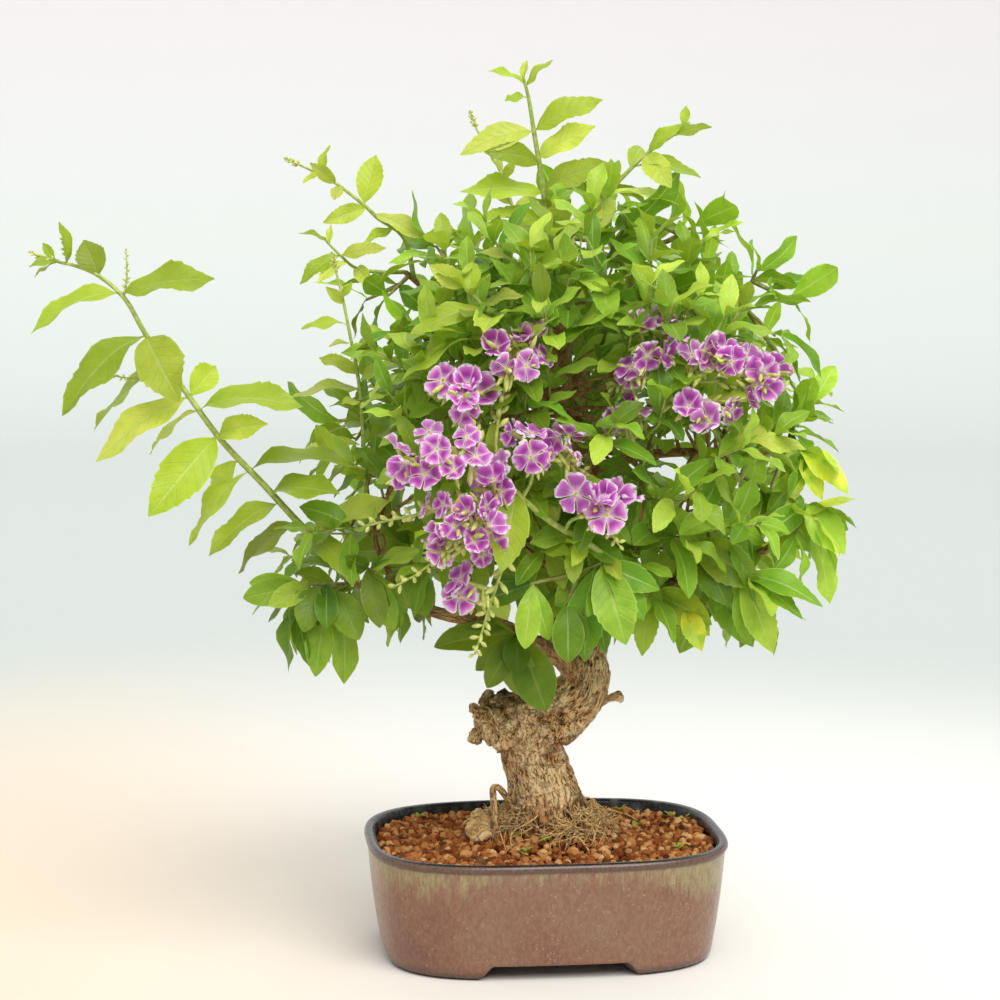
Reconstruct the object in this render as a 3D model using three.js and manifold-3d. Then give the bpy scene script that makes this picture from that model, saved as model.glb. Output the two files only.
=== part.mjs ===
// A golden dewdrop (Duranta) bonsai in flower: a gnarled trunk with its branches and roots, leafy sprays and
// long young shoots, hanging racemes of violet florets, and a glazed rounded pot of clay granules.
// Millimetres, +Z up. The origin is under the middle of the whole tree's spread, on the surface it stands on.
import * as THREE from "three";
import { mergeVertices } from "three/addons/utils/BufferGeometryUtils.js";
import Module from "manifold-3d";

const wasm = await Module();
wasm.setup();

// Driving dimensions, in millimetres
const POT = { halfWidth: 80, halfDepth: 64, height: 52, roundness: 3.2, wall: 5, floor: 5.5, sides: 30 };
const FOOT = { height: 6.5, openWidth: 28, openDepth: 18, slant: 7, rim: 9 };
const DRAIN = { across: 32, radius: 6 };
const SCREEN = { side: 22, thick: 0.8, hole: 6, pitch: 9 };
const STAPLE = { radius: 0.6, prong: 3.6, toe: 10, aside: 3 };
const SOIL = { belowRim: 4.5, edge: 5.9, mound: 11, moundReach: 48, grain: 0.9 };
const GAP = 0.3;
const SLIVER = 0.04;
const LEAF = { widthShare: 0.44, fullShare: 0.5, thick: 1.3, peak: 0.4, arch: 0.09, sunk: -0.2 };
const FLORET = { radius: 8, tube: 0.9 };
const TWIG_RADII = [1.3, 0.8];

// Places on the tree are read off its front view: pixels across and down a picture 1000 square, taken from
// here, then millimetres forward of the pot's centre. at() turns such a place into millimetres.
const VIEW = { away: 1200, high: 342, aside: -19.8, pitch: 6.72, turn: -6.5, focal: 2739, middle: 500 };

const radians = THREE.MathUtils.degToRad;
const V = (x, y, z) => new THREE.Vector3(x, y, z);
const UP = V(0, 0, 1);
const RIGHT = V(Math.cos(radians(VIEW.turn)), Math.sin(radians(VIEW.turn)), 0);
const TOWARDS = V(Math.sin(radians(VIEW.turn)), -Math.cos(radians(VIEW.turn)), 0);

function at([across, down, forward]) {
  const pitch = radians(VIEW.pitch);
  const x = (across - VIEW.middle) / VIEW.focal;
  const y = (VIEW.middle - down) / VIEW.focal;
  const reach = (VIEW.away - forward) / (Math.cos(pitch) + y * Math.sin(pitch));
  return V(0, 0, VIEW.high + reach * (y * Math.cos(pitch) - Math.sin(pitch)))
    .addScaledVector(RIGHT, VIEW.aside + reach * x)
    .addScaledVector(TOWARDS, forward);
}

// A small repeatable random draw, the same on every run.
function randomFrom(seed) {
  let state = seed >>> 0;
  return () => {
    state = (Math.imul(state, 1664525) + 1013904223) >>> 0;
    return state / 4294967296;
  };
}

// Solids
function solidOf(geometry) {
  const bare = geometry.clone();
  bare.deleteAttribute("normal");
  bare.deleteAttribute("uv");
  const merged = mergeVertices(bare, 1e-4);
  return new wasm.Manifold(
    new wasm.Mesh({
      numProp: 3,
      vertProperties: new Float32Array(merged.attributes.position.array),
      triVerts: new Uint32Array(merged.index.array),
    }),
  );
}

function solidFrom(points, triangles) {
  const geometry = new THREE.BufferGeometry().setFromPoints(points);
  geometry.setIndex(triangles);
  return solidOf(geometry);
}

function meshOf(name, solid, material) {
  const { numProp, vertProperties, triVerts } = solid.getMesh();
  const flat = new Float32Array((vertProperties.length / numProp) * 3);
  for (let i = 0; i * 3 < flat.length; i++) {
    flat.set(vertProperties.subarray(i * numProp, i * numProp + 3), i * 3);
  }
  const geometry = new THREE.BufferGeometry()
    .setAttribute("position", new THREE.BufferAttribute(flat, 3))
    .setIndex(new THREE.BufferAttribute(triVerts, 1));
  geometry.computeVertexNormals();
  const mesh = new THREE.Mesh(geometry, material);
  mesh.name = name;
  return mesh;
}

const fuse = (solids) => wasm.Manifold.union(solids);

// The biggest of a solid's bodies: what a cut has left loose is dropped, and the slivers of joins too.
function mainBody(solid) {
  const bodies = solid.asOriginal().simplify(SLIVER).decompose();
  return bodies.sort((a, b) => b.volume() - a.volume())[0];
}

// Rings of points, each a closed loop, skinned and capped at both ends.
function skin(rings) {
  const count = rings[0].length;
  const points = rings.flat();
  const triangles = [];
  for (let r = 0; r + 1 < rings.length; r++) {
    for (let i = 0; i < count; i++) {
      const a = r * count + i;
      const b = r * count + ((i + 1) % count);
      triangles.push(a, b, b + count, a, b + count, a + count);
    }
  }
  const last = (rings.length - 1) * count;
  for (let i = 1; i + 1 < count; i++) {
    triangles.push(0, i + 1, i, last, last + i, last + i + 1);
  }
  return solidFrom(points, triangles);
}

// A round bar along points with a radius at each. swell(angle, share) scales the radius.
function bar(points, radii, sides, swell = () => 1, grow = 0) {
  const rings = [];
  let side = null;
  points.forEach((point, k) => {
    const next = points[Math.min(k + 1, points.length - 1)];
    const tangent = next.clone().sub(points[Math.max(k - 1, 0)]).normalize();
    side = side || (Math.abs(tangent.z) < 0.9 ? UP.clone() : V(1, 0, 0));
    side = side.clone().addScaledVector(tangent, -side.dot(tangent)).normalize();
    const other = V(0, 0, 0).crossVectors(tangent, side);
    const ring = [];
    for (let i = 0; i < sides; i++) {
      const angle = (2 * Math.PI * i) / sides;
      const radius = radii[k] * swell(angle, k / (points.length - 1)) + grow;
      const spoke = side.clone().multiplyScalar(Math.cos(angle)).addScaledVector(other, Math.sin(angle));
      ring.push(point.clone().addScaledVector(spoke, radius));
    }
    rings.push(ring);
  });
  return skin(rings);
}

// The pot
function oval(halfX, halfY, z) {
  const loop = [];
  for (let i = 0; i < POT.sides; i++) {
    const angle = (2 * Math.PI * i) / POT.sides;
    const c = Math.cos(angle);
    const s = Math.sin(angle);
    const power = 2 / POT.roundness;
    const x = Math.sign(c) * Math.abs(c) ** power * halfX;
    const y = Math.sign(s) * Math.abs(s) ** power * halfY;
    loop.push(V(x, y, z));
  }
  return loop;
}

const inset = (depth, z) => oval(POT.halfWidth - depth, POT.halfDepth - depth, z);

// How far the outer wall stands in from the rim at a height, and the same for the cavity.
const OUTER = [[8.8, 0], [7.1, 1.8], [6.2, 6.5], [3.6, 24], [1.2, 47.6], [0, 48.8], [0, 51.2], [0.8, 52]];
const CAVITY_FLOOR = FOOT.height + POT.floor;
const INNER = [[13.5, CAVITY_FLOOR], [9, 22], [POT.wall, 50], [4.2, 53]];

function footCutAlong(halfWidth, length, turned) {
  const shape = new THREE.Shape([
    new THREE.Vector2(-halfWidth - FOOT.slant, -1),
    new THREE.Vector2(halfWidth + FOOT.slant, -1),
    new THREE.Vector2(halfWidth, FOOT.height),
    new THREE.Vector2(-halfWidth, FOOT.height),
  ]);
  const cut = new THREE.ExtrudeGeometry(shape, { depth: 2 * length, bevelEnabled: false });
  cut.translate(0, 0, -length);
  cut.rotateX(Math.PI / 2);
  cut.rotateZ(turned ? Math.PI / 2 : 0);
  return solidOf(cut);
}

function potSolid() {
  let pot = skin(OUTER.map(([depth, z]) => inset(depth, z)));
  pot = pot.subtract(skin(INNER.map(([depth, z]) => inset(depth, z))));
  pot = pot.subtract(footCutAlong(FOOT.openWidth, POT.halfDepth, false));
  pot = pot.subtract(footCutAlong(FOOT.openDepth, POT.halfWidth, true));
  const underside = FOOT.rim + OUTER[0][0];
  pot = pot.subtract(skin([inset(underside, -1), inset(underside, FOOT.height)]));
  for (const side of [-1, 1]) {
    const hole = new THREE.CylinderGeometry(DRAIN.radius, DRAIN.radius, 3 * POT.floor, 20);
    hole.rotateX(Math.PI / 2);
    hole.translate(side * DRAIN.across, 0, CAVITY_FLOOR);
    pot = pot.subtract(solidOf(hole));
  }
  return pot;
}

// The drain screens and the wire staples that hold them
function block(wide, deep, high, x, y, z) {
  const box = new THREE.BoxGeometry(wide, deep, high);
  box.translate(x, y, z);
  return solidOf(box);
}

function screenSolid(side) {
  const x = side * DRAIN.across;
  const z = CAVITY_FLOOR + GAP + SCREEN.thick / 2;
  let screen = block(SCREEN.side, SCREEN.side, SCREEN.thick, x, 0, z);
  for (const column of [-0.5, 0.5]) {
    for (const row of [-0.5, 0.5]) {
      const across = x + column * SCREEN.pitch;
      const hole = block(SCREEN.hole, SCREEN.hole, 3 * SCREEN.thick, across, row * SCREEN.pitch, z);
      screen = screen.subtract(hole);
    }
  }
  return screen;
}

function stapleSolid(side) {
  const x = side * DRAIN.across;
  const low = FOOT.height - GAP - STAPLE.radius;
  const high = CAVITY_FLOOR + 2 * GAP + SCREEN.thick + STAPLE.radius;
  const { prong, toe, radius, aside } = STAPLE;
  const path = [
    [-toe, low], [-prong - 0.6, low], [-prong, low + 0.6], [-prong, high - 0.6], [-prong + 0.6, high],
    [prong - 0.6, high], [prong, high - 0.6], [prong, low + 0.6], [prong + 0.6, low], [toe, low],
  ].map(([along, z]) => V(x + along, aside, z));
  return bar(path, path.map(() => radius), 6);
}

// The wood: roots, trunk and branches, grown as one piece
const TRUNK_PATH = [
  [551, 856, 0], [550, 832, 0], [549, 812, 0], [545, 792, 0], [539, 774, 0], [533, 756, 0], [531, 741, 1],
  [539, 727, 2], [554, 716, 3], [569, 706, 4], [580, 694, 4], [586, 679, 3], [588, 664, 2], [588, 648, 0],
];
const TRUNK_RADII = [17, 19, 17.5, 15.2, 14, 13.4, 13.6, 13.4, 12.2, 11.6, 11.4, 10.4, 9, 6.8];
const KNUCKLE = {
  path: [[545, 730, 4], [522, 724, 5], [501, 721, 6], [484, 722, 7], [476, 723, 7]],
  radii: [11, 12.5, 10.5, 8, 5.6],
};
// Broken snags, pruning scars and the bare stub on the trunk: each a short bar from the wood outwards.
const SNAGS = [
  { path: [[504, 720, 4], [487, 701, 2]], radii: [5.2, 1.8] },
  { path: [[494, 724, 8], [477, 710, 10]], radii: [5, 1.6] },
  { path: [[520, 712, 3], [505, 698, 0]], radii: [5.4, 2.2] },
  { path: [[510, 733, 8], [502, 741, 19]], radii: [5.6, 3.6] },
  { path: [[538, 716, 8], [526, 712, 19]], radii: [6.4, 3.2] },
  { path: [[548, 705, 2], [533, 690, -2]], radii: [8, 3.6] },
  { path: [[590, 708, 4], [622, 695, 7]], radii: [3, 1.7] },
];
const ROOT_RING = { count: 9, reach: 31, radius: 2.4, seed: 11 };
const ROOT_ARCH = {
  path: [[520, 812, 4], [507, 798, 8], [499, 788, 11], [493, 789, 12], [494, 806, 13], [497, 842, 14]],
  radius: 1.5,
};
const ROOT_KNOB = {
  path: [[512, 818, 4], [498, 820, 6], [484, 824, 7], [474, 828, 8]],
  radii: [4.2, 5.4, 5.8, 3.6],
};

// Each branch leaves another at a share of its length, and runs through these places.
const BRANCHES = {
  upper_trunk: {
    radii: [8, 2],
    sides: 7,
    path: [
      [588, 660, 2], [588, 640, 0], [586, 590, -3], [588, 540, -4], [585, 480, -5], [583, 430, -5],
      [572, 390, -5], [560, 345, -4], [555, 300, -3], [553, 252, -2],
    ],
  },
  low_left: {
    from: [578, 680, 6],
    radii: [4.2, 1.6],
    path: [
      [556, 656, 15], [525, 637, 22], [490, 622, 30], [450, 616, 36], [410, 603, 40], [375, 590, 42],
      [345, 578, 42],
    ],
  },
  low_left_riser: {
    on: ["low_left", 0.78],
    radii: [1.7, 1.2],
    path: [[392, 580, 34], [378, 550, 26], [372, 522, 20]],
  },
  mid_left: {
    on: ["upper_trunk", 0.45],
    radii: [2.8, 1.4],
    path: [[540, 484, -12], [480, 460, -18], [430, 444, -22], [388, 428, -25]],
  },
  high_left: {
    on: ["upper_trunk", 0.6],
    radii: [2.6, 1.2],
    path: [[540, 388, -8], [490, 342, -12], [440, 302, -14], [405, 272, -14]],
  },
  low_right: {
    on: ["upper_trunk", 0.2],
    radii: [3.2, 1.4],
    path: [[630, 588, 12], [680, 580, 25], [730, 566, 32], [775, 545, 34], [803, 522, 32]],
  },
  mid_right: {
    on: ["upper_trunk", 0.45],
    radii: [2.6, 1.3],
    path: [[630, 458, 6], [690, 452, 12], [745, 455, 16], [788, 446, 16]],
  },
  high_right: {
    on: ["upper_trunk", 0.68],
    radii: [2.4, 1.2],
    path: [[610, 348, 4], [660, 312, 6], [710, 292, 6], [748, 290, 4]],
  },
  top_right: {
    on: ["upper_trunk", 0.85],
    radii: [2, 1.1],
    path: [[590, 276, -6], [630, 254, -10], [668, 241, -12]],
  },
  top_left: {
    on: ["upper_trunk", 0.82],
    radii: [2, 1.1],
    path: [[520, 292, 4], [480, 276, 6], [452, 268, 8]],
  },
  front_low: {
    on: ["upper_trunk", 0.14],
    radii: [2.6, 1.5],
    path: [[580, 606, 25], [570, 590, 45], [562, 580, 60]],
  },
  front_right: {
    on: ["upper_trunk", 0.26],
    radii: [2.4, 1.4],
    path: [[602, 578, 28], [622, 584, 50], [632, 586, 66]],
  },
  front_middle: {
    on: ["upper_trunk", 0.58],
    radii: [2.2, 1.2],
    path: [[572, 420, 24], [550, 402, 44], [532, 388, 58]],
  },
  back_low_left: {
    on: ["upper_trunk", 0.22],
    radii: [2.6, 1.3],
    path: [[560, 576, -35], [520, 562, -62], [484, 552, -82]],
  },
  back_low_right: {
    on: ["upper_trunk", 0.3],
    radii: [2.6, 1.3],
    path: [[620, 556, -35], [662, 546, -62], [698, 536, -82]],
  },
  back_middle: {
    on: ["upper_trunk", 0.47],
    radii: [2.4, 1.2],
    path: [[590, 472, -38], [600, 456, -72], [606, 446, -96]],
  },
  back_high_left: {
    on: ["upper_trunk", 0.58],
    radii: [2.2, 1.1],
    path: [[555, 392, -38], [522, 358, -62], [492, 338, -78]],
  },
  back_high_right: {
    on: ["upper_trunk", 0.66],
    radii: [2.2, 1.1],
    path: [[612, 372, -32], [648, 346, -56], [680, 332, -72]],
  },
  back_top: {
    on: ["upper_trunk", 0.84],
    radii: [1.8, 1.1],
    path: [[560, 288, -22], [570, 264, -42], [576, 248, -54]],
  },
};

// Long young shoots. leaves: where each one's stalk leaves, its tip, how much nearer its tip is than that,
// and how broad it looks from the front.
const SHOOTS = {
  left_arching_shoot: {
    on: ["low_left", 1],
    radii: [1.7, 0.6],
    path: [
      [334, 559, 44], [297, 521, 50], [262, 483, 54], [222, 441, 56], [188, 395, 56], [148, 338, 54],
      [125, 299, 52], [99, 276, 50], [76, 266, 48], [59, 262, 47], [34, 254, 46],
    ],
    leaves: [
      [61, 260, 24, 267, 4, 8], [69, 255, 59, 222, 4, 7], [59, 256, 43, 243, -4, 9],
      [64, 262, 34, 278, -6, 5], [99, 270, 84, 240, -6, 28], [128, 292, 215, 279, 8, 26],
      [120, 301, 30, 335, 6, 20], [148, 339, 62, 416, 14, 32], [152, 338, 180, 402, 22, 46],
      [186, 394, 216, 366, -16, 26], [208, 412, 303, 407, 8, 22], [166, 370, 93, 432, -10, 15],
      [184, 400, 96, 462, 12, 30], [222, 441, 268, 424, 18, 24], [196, 420, 149, 455, -14, 11],
      [214, 438, 148, 517, 20, 44], [236, 452, 212, 508, -18, 24], [240, 470, 189, 546, 0, 18],
      [272, 508, 209, 556, 14, 20], [258, 468, 357, 468, 6, 18], [276, 488, 340, 494, 22, 24],
      [300, 520, 238, 574, -10, 22], [314, 536, 391, 501, 12, 24], [318, 536, 360, 582, 22, 26],
    ],
  },
  left_upright_shoot: {
    on: ["low_left_riser", 1],
    radii: [1.2, 0.5],
    path: [
      [368, 500, 22], [364, 460, 24], [362, 410, 26], [357, 370, 26], [350, 335, 26], [342, 295, 24],
      [335, 268, 22],
    ],
    leaves: [
      [343, 300, 326, 287, 4, 11], [345, 299, 352, 282, 2, 8], [346, 322, 301, 329, 4, 9],
      [351, 346, 329, 347, 12, 7], [353, 348, 377, 341, 12, 12], [359, 378, 319, 358, -8, 14],
      [359, 386, 287, 400, 6, 11], [360, 384, 413, 357, 6, 14], [362, 402, 342, 404, 14, 9],
      [362, 402, 376, 398, 14, 9], [363, 450, 306, 448, 6, 8], [364, 450, 416, 422, 8, 11],
      [366, 480, 334, 466, 10, 14], [367, 482, 394, 466, 12, 14],
    ],
  },
  upper_left_shoot: {
    on: ["high_left", 0.93],
    radii: [1.2, 0.5],
    path: [
      [404, 238, -12], [378, 218, -8], [364, 205, -6], [337, 184, -4], [317, 173, -4], [300, 165, -4],
    ],
    leaves: [
      [324, 178, 330, 145, -4, 7], [334, 184, 310, 163, 6, 14], [320, 176, 303, 183, 4, 6],
      [339, 187, 334, 200, 8, 12], [364, 204, 376, 155, -8, 26], [366, 207, 323, 223, 6, 18],
      [374, 213, 425, 241, 10, 17], [395, 230, 362, 246, 8, 12],
    ],
  },
  small_left_shoot: {
    on: ["high_left", 1],
    radii: [1, 0.5],
    path: [[380, 272, -8], [356, 268, -2], [341, 256, 2], [326, 241, 4]],
    leaves: [
      [326, 241, 298, 233, 4, 7], [327, 242, 331, 225, -2, 7], [341, 257, 300, 284, 6, 16],
      [346, 262, 318, 284, 14, 14], [341, 256, 386, 248, 4, 16], [356, 268, 372, 286, 12, 16],
    ],
  },
  leader_shoot: {
    on: ["upper_trunk", 1],
    radii: [1.5, 0.5],
    path: [[546, 209, 0], [540, 168, 2], [534, 132, 3], [529, 100, 3], [525, 84, 3], [523, 74, 3]],
    leaves: [
      [524, 80, 527, 56, -3, 6], [526, 88, 553, 56, 4, 10], [525, 86, 488, 71, 5, 8],
      [529, 98, 505, 101, 12, 9], [535, 132, 603, 100, 4, 25], [534, 132, 460, 155, 8, 27],
      [541, 160, 596, 126, 12, 24], [539, 164, 484, 152, 14, 23], [546, 196, 612, 164, 14, 26],
      [545, 197, 460, 192, 8, 25], [548, 226, 478, 219, 16, 20], [549, 236, 474, 238, -14, 16],
      [549, 232, 571, 199, 14, 26],
    ],
  },
  upper_right_shoot: {
    on: ["upper_trunk", 0.97],
    radii: [1.4, 0.5],
    path: [[582, 219, 4], [615, 185, 6], [645, 155, 7], [672, 136, 8], [690, 122, 8]],
    leaves: [
      [682, 127, 686, 106, -3, 10], [648, 153, 682, 124, 6, 15], [674, 136, 712, 127, 5, 13],
      [646, 156, 671, 188, 14, 26], [632, 170, 701, 178, 6, 11], [630, 172, 640, 146, -14, 18],
      [604, 198, 679, 205, 8, 10], [598, 204, 548, 189, 10, 13], [606, 194, 600, 232, 18, 22],
    ],
  },
  far_back_shoot: {
    on: ["top_left", 0.15],
    radii: [1.1, 0.5],
    path: [[520, 240, -30], [512, 205, -38], [500, 171, -42], [476, 128, -46]],
    leaves: [
      [502, 174, 488, 152, -6, 8], [503, 178, 516, 160, 4, 10], [512, 205, 494, 190, -8, 12],
      [514, 212, 536, 196, -8, 12],
    ],
  },
  front_upright_shoot: {
    on: ["front_middle", 0.6],
    radii: [1.2, 0.5],
    path: [[542, 365, 54], [534, 335, 56], [528, 292, 56], [523, 263, 54], [520, 248, 53]],
    leaves: [
      [527, 280, 581, 254, 8, 16], [525, 272, 472, 252, 8, 9], [522, 262, 498, 243, 4, 6],
      [522, 258, 530, 238, 2, 6], [524, 266, 545, 255, 8, 9],
    ],
  },
  front_left_shoot: {
    on: ["front_middle", 0.85],
    radii: [1.3, 0.6],
    path: [[516, 356, 66], [503, 338, 70], [492, 318, 72], [476, 298, 72], [462, 284, 70]],
    leaves: [
      [466, 288, 429, 265, 4, 20], [470, 292, 472, 262, -8, 18], [496, 322, 484, 333, 34, 28],
      [484, 306, 408, 337, 10, 22], [498, 330, 402, 381, 12, 20], [500, 334, 540, 352, 10, 14],
      [486, 308, 524, 296, 12, 14],
    ],
  },
  flowering_shoot_low: {
    on: ["front_right", 1],
    radii: [1.6, 1],
    path: [
      [605, 557, 74], [584, 541, 78], [557, 526, 82], [531, 506, 85], [505, 480, 88], [494, 466, 89],
    ],
    leaves: [
      [515, 496, 501, 573, 20, 36], [606, 558, 622, 580, 14, 16], [584, 541, 572, 566, 12, 15],
      [520, 500, 470, 480, -14, 18], [557, 525, 530, 470, -16, 22],
    ],
  },
  flowering_shoot_high: {
    on: ["mid_right", 0.78],
    radii: [1.4, 0.8],
    path: [
      [739, 479, 42], [731, 459, 52], [719, 439, 58], [705, 412, 62], [690, 390, 64], [676, 378, 65],
    ],
    leaves: [
      [700, 404, 760, 400, 8, 12], [690, 392, 640, 362, -14, 14], [720, 440, 806, 450, -6, 20],
      [728, 452, 690, 470, -14, 16], [692, 392, 716, 372, -14, 16],
    ],
  },
};

// Racemes: the stalk's places, the florets' faces, then the buds that end it. Florets face front and up.
const RACEMES = {
  raceme_upper: {
    on: ["flowering_shoot_low", 0.93],
    buds: [0.25, 0.45],
    path: [[496, 440, 92], [501, 405, 92], [508, 375, 90], [512, 356, 88]],
    florets: [
      [495, 347, 92], [517, 341, 86], [526, 366, 98], [540, 354, 88], [506, 368, 98], [531, 340, 80],
    ],
  },
  raceme_upper_left: {
    on: ["flowering_shoot_low", 0.97],
    buds: [0.4],
    path: [[479, 445, 96], [468, 414, 96], [459, 390, 94]],
    florets: [
      [443, 380, 94], [456, 374, 88], [468, 384, 98], [463, 397, 104], [478, 394, 96], [465, 410, 102],
    ],
  },
  raceme_centre: {
    on: ["flowering_shoot_low", 0.95],
    buds: [0.9, 0.97],
    path: [[470, 464, 97], [440, 462, 100], [410, 466, 98], [392, 474, 94]],
    florets: [
      [437, 449, 112], [467, 437, 108], [399, 449, 100], [405, 463, 106], [401, 477, 100], [429, 432, 98],
      [476, 456, 108], [454, 470, 112], [425, 474, 108],
    ],
  },
  raceme_hanging: {
    on: ["flowering_shoot_low", 0.9],
    buds: [0.8, 0.9, 1],
    path: [[482, 500, 98], [464, 525, 100], [448, 548, 98], [420, 572, 92], [392, 588, 86]],
    florets: [
      [426, 506, 102], [443, 505, 108], [443, 531, 106], [435, 541, 98], [441, 553, 100], [454, 526, 112],
      [468, 512, 110], [486, 506, 108], [490, 525, 110], [474, 541, 108], [493, 541, 104], [482, 555, 98],
    ],
  },
  raceme_left_buds: {
    on: ["flowering_shoot_low", 0.85],
    buds: [0.62, 0.72, 0.82, 0.9, 1],
    path: [[500, 500, 92], [460, 506, 94], [420, 514, 92], [390, 520, 88], [366, 526, 84]],
    florets: [[500, 466, 98], [494, 480, 104], [500, 492, 100]],
  },
  raceme_right: {
    on: ["flowering_shoot_low", 0.72],
    buds: [0.85, 1],
    path: [[530, 484, 88], [537, 462, 92], [552, 456, 92], [570, 464, 90], [584, 473, 88]],
    florets: [[530, 433, 96], [557, 437, 94], [569, 435, 84], [531, 457, 104], [572, 453, 94]],
  },
  raceme_low_right: {
    on: ["flowering_shoot_low", 0.45],
    buds: [0.87, 1],
    path: [[572, 520, 88], [590, 516, 92], [604, 524, 92], [619, 545, 90]],
    florets: [[576, 494, 98], [600, 502, 98], [612, 500, 90], [621, 498, 84], [607, 515, 100]],
  },
  raceme_pendent: {
    on: ["flowering_shoot_low", 0.78],
    buds: [0.6, 0.7, 0.8, 0.9, 1],
    path: [[512, 528, 92], [500, 575, 92], [490, 605, 90], [482, 632, 88], [475, 654, 86]],
    florets: [[460, 579, 92], [459, 596, 90]],
  },
  raceme_high_left: {
    on: ["flowering_shoot_high", 0.97],
    buds: [0.88, 1],
    path: [[658, 366, 68], [645, 372, 70], [626, 382, 68], [610, 388, 66]],
    florets: [
      [640, 325, 70], [654, 326, 64], [676, 337, 66], [663, 322, 56], [647, 356, 82], [664, 352, 78],
      [632, 367, 76], [630, 375, 70],
    ],
  },
  raceme_high_right: {
    on: ["flowering_shoot_high", 0.92],
    buds: [0.53, 1],
    path: [[706, 382, 68], [730, 380, 68], [760, 380, 64], [786, 388, 60]],
    florets: [
      [692, 355, 72], [704, 350, 74], [724, 350, 70], [731, 362, 76], [747, 359, 68], [761, 357, 62],
      [763, 370, 70], [774, 367, 60], [764, 384, 72],
    ],
  },
  raceme_high_low: {
    on: ["flowering_shoot_high", 0.8],
    buds: [0.85, 1],
    path: [[684, 404, 70], [660, 408, 70], [636, 424, 68], [612, 443, 64]],
    florets: [
      [617, 412, 72], [627, 406, 68], [637, 414, 76], [614, 424, 66], [689, 407, 84], [709, 422, 82],
      [732, 410, 72],
    ],
  },
};

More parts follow.
